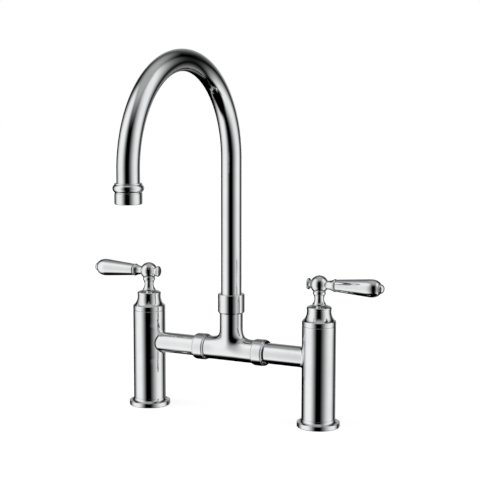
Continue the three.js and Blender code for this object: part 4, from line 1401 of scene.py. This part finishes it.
class JetPlateTree(GrowingTree):
    """Round plate drilled with a honeycomb of jets."""

    title = "jet plate"
    lengths = ("Plate Radius", "Thickness", "Jet Radius", "Pitch", "Field Radius")
    row_length = 9
    row_rise = math.sqrt(0.75)
    drill_stretch = 1.2
    plate_sides = 96
    jet_sides = 16

    def grow(self) -> bpy.types.NodeSocket:
        """Wires the plate, the jets and the drilling.

        Returns:
            The drilled plate.
        """
        plate = self.cylinder(self.plate_sides, "Plate Radius", 1.0)
        feeds = {"Mesh 1": plate, "Mesh 2": self.jets()}
        drilled = self.wiring.node("GeometryNodeMeshBoolean", feeds, operation="DIFFERENCE")
        return drilled.outputs["Mesh"]

    def cylinder(self, sides: int, radius: str, stretch: float) -> bpy.types.NodeSocket:
        """Closed cylinder about the axis.

        Args:
            sides: facets round it.
            radius: name of the input that gives its radius.
            stretch: its length as a share of the plate's thickness.

        Returns:
            The cylinder.
        """
        depth = self.wiring.math("MULTIPLY", self.inputs["Thickness"], stretch)
        feeds = {"Vertices": sides, "Radius": self.inputs[radius], "Depth": depth}
        return self.wiring.node("GeometryNodeMeshCylinder", feeds).outputs["Mesh"]

    def jets(self) -> bpy.types.NodeSocket:
        """Drills on a honeycomb, kept inside the field's radius.

        Returns:
            The drills as one mesh.
        """
        w, pitch = self.wiring, self.inputs["Pitch"]
        number = w.node("GeometryNodeInputIndex").outputs[0]
        row = w.math("FLOOR", w.math("DIVIDE", number, self.row_length))
        column = w.math("MODULO", number, self.row_length)
        half = (self.row_length - 1) / 2
        stagger = w.math("MULTIPLY", w.math("MODULO", row, 2.0), 0.5)
        x = w.math("SUBTRACT", w.math("ADD", column, stagger), half)
        y = w.math("MULTIPLY", w.math("SUBTRACT", row, half), self.row_rise)
        place = {0: w.math("MULTIPLY", x, pitch), 1: w.math("MULTIPLY", y, pitch)}
        spot = w.node("ShaderNodeCombineXYZ", place).outputs[0]
        points = w.node("GeometryNodePoints", {"Count": self.row_length**2, "Position": spot})
        position = w.node("GeometryNodeInputPosition").outputs[0]
        far = w.node("ShaderNodeVectorMath", {0: position}, operation="LENGTH")
        outside = w.math("GREATER_THAN", far.outputs["Value"], self.inputs["Field Radius"])
        feeds = {"Geometry": points.outputs[0], "Selection": outside}
        kept = w.node("GeometryNodeDeleteGeometry", feeds, domain="POINT")
        jet = self.cylinder(self.jet_sides, "Jet Radius", self.drill_stretch)
        feeds = {"Points": kept.outputs[0], "Instance": jet}
        drills = w.node("GeometryNodeInstanceOnPoints", feeds)
        return w.node("GeometryNodeRealizeInstances", {"Geometry": drills.outputs[0]}).outputs[0]


@dataclass
class InnerPieces:
    """Solids that are carried over as they are and get their finish."""

    nodes: dict[str, bpy.types.Object]
    slots: dict[str, str]

    def dress(self) -> None:
        """Gives each solid that still shows the finish of its slot."""
        for name, piece in sorted(self.nodes.items()):
            if piece.hide_render:
                continue
            finish = FINISHES[self.slots[name]]
            piece.data.materials.clear()
            piece.data.materials.append(finish.material())
            LOG.info("%s: carried over, %s", name, finish.name)


# Studio


@dataclass
class PhotoCamera:
    """Camera at the photograph's viewing angle."""

    azimuth: float = 27.664
    pitch: float = 7.196
    distance: float = 1.37633
    target_height: float = 0.188303
    lens: float = 97.97
    sensor_width: float = 36.0
    shift_x: float = 0.0181

    def build(self) -> None:
        """Makes the camera and makes it the scene's."""
        data = bpy.data.cameras.new("photo camera")
        data.sensor_width, data.lens = self.sensor_width, self.lens
        data.shift_x = self.shift_x
        camera = linked("photo camera", data)
        azimuth, pitch = math.radians(self.azimuth), math.radians(self.pitch)
        back = polar(math.cos(pitch), azimuth - math.pi / 2, math.sin(pitch))
        camera.location = Vector((0, 0, self.target_height)) + back * self.distance
        camera.rotation_euler = (-back).to_track_quat("-Z", "Y").to_euler()
        bpy.context.scene.camera = camera


@dataclass(frozen=True)
class SoftBox:
    """Panel of light; of each edge, the angle where it is dark and where it is full."""

    near: Span
    far: Span
    strength: float
    foot: Span = (-62.0, -48.0)
    head: Span = (80.0, 50.0)


@dataclass(frozen=True)
class Studio:
    """Pale floor, two wide panels at the sides, a weak one and a low backdrop behind, grey ceiling.

    Angles are in degrees. Those round the studio count from the camera, rising to the right as
    the camera sees it.
    """

    front: float = 27.664
    floor_size: float = 12.0
    floor_colour: Colour = (0.9, 0.9, 0.9)
    floor_roughness: float = 0.9
    floor_glow: float = 0.7
    panels: tuple[SoftBox, ...] = (
        SoftBox((342, 293), (220, 270), 1.0),
        SoftBox((5, 75), (126, 86), 0.95),
        SoftBox((124, 152), (180, 160), 0.26, head=(20.0, 0.0)),
        SoftBox((128, 178), (215, 185), 0.45, foot=(-3.0, 4.0), head=(56.0, 6.0)),
    )
    ceiling: float = 0.43
    ceiling_rise: Span = (32.0, 74.0)

    def build(self) -> None:
        """Makes the floor and the surrounding light."""
        self.add_floor()
        self.add_surround()
        bpy.context.scene.view_settings.view_transform = "Standard"

    def add_floor(self) -> None:
        """Makes the floor, which mirrors leave out."""
        half = self.floor_size / 2
        mesh = bpy.data.meshes.new("floor")
        spots = [(-half, -half, 0), (half, -half, 0), (half, half, 0), (-half, half, 0)]
        mesh.from_pydata(spots, [], [(0, 1, 2, 3)])
        floor = linked("floor", mesh)
        floor.visible_glossy = False
        material = bpy.data.materials.new("pale floor")
        material.use_nodes = True
        feeds = {
            "Base Color": (*self.floor_colour, 1.0),
            "Roughness": self.floor_roughness,
            "Specular IOR Level": 0.0,
            "Emission Color": WHITE,
            "Emission Strength": self.floor_glow,
        }
        shader = material.node_tree.nodes["Principled BSDF"]
        Wiring(material.node_tree).feed(shader, feeds)
        mesh.materials.append(material)

    def add_surround(self) -> None:
        """Makes the light that surrounds the object, by direction."""
        world = bpy.data.worlds.new("studio")
        bpy.context.scene.world = world
        world.use_nodes = True
        w = Wiring(world.node_tree)
        direction = w.node("ShaderNodeTexCoord").outputs["Generated"]
        x, y, z = w.node("ShaderNodeSeparateXYZ", {0: direction}).outputs
        turn = w.math("DEGREES", w.math("ARCTAN2", x, w.math("MULTIPLY", y, -1.0)))
        around = w.math("WRAP", w.math("SUBTRACT", turn, self.front), FULL_TURN, 0.0)
        up = w.math("DEGREES", w.math("ARCSINE", z))
        top = w.math("MULTIPLY", self.soft_step(w, up, self.ceiling_rise), self.ceiling)
        light = w.math("MAXIMUM", self.panel_light(w, around, up), top)
        seen = w.node("ShaderNodeLightPath").outputs["Is Camera Ray"]
        feeds = {"Strength": w.math("MAXIMUM", light, seen), "Color": WHITE}
        w.feed(world.node_tree.nodes["Background"], feeds)

    def panel_light(self, w: Wiring, around: object, up: object) -> bpy.types.NodeSocket:
        """Adds up the panels.

        Args:
            w: wiring of the world's tree.
            around: angle round the studio.
            up: angle over the horizon.

        Returns:
            The light from that side.
        """
        total: object = 0.0
        for panel in self.panels:
            light: object = panel.strength
            for edge in (panel.near, panel.far):
                light = w.math("MULTIPLY", light, self.soft_step(w, around, edge))
            for edge in (panel.foot, panel.head):
                light = w.math("MULTIPLY", light, self.soft_step(w, up, edge))
            total = w.math("ADD", light, total)
        return total

    def soft_step(self, w: Wiring, value: object, edge: Span) -> bpy.types.NodeSocket:
        """Rises smoothly from 0 to 1.

        Args:
            w: wiring of the world's tree.
            value: what it depends on.
            edge: the value that gives 0 and the one that gives 1, in either order.

        Returns:
            The share of light.
        """
        target = (0.0, 1.0) if edge[0] < edge[1] else (1.0, 0.0)
        source = (min(edge), max(edge))
        return w.mapped(value, source, target, interpolation_type="SMOOTHSTEP")


def main() -> None:
    """Builds the faucet, the camera and the studio."""
    logging.basicConfig(level=logging.INFO, format="%(name)s: %(message)s")
    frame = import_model()
    for side in Side:
        Pillar(side).build()
        Lever(side).build()
    Bridge().build()
    Spout().build()
    slots = {row["node"]: row["material_slot"] for row in frame["record"]["subparts"]}
    InnerPieces(frame["nodes"], slots).dress()
    PhotoCamera().build()
    Studio().build()


if __name__ == "__main__":
    main()
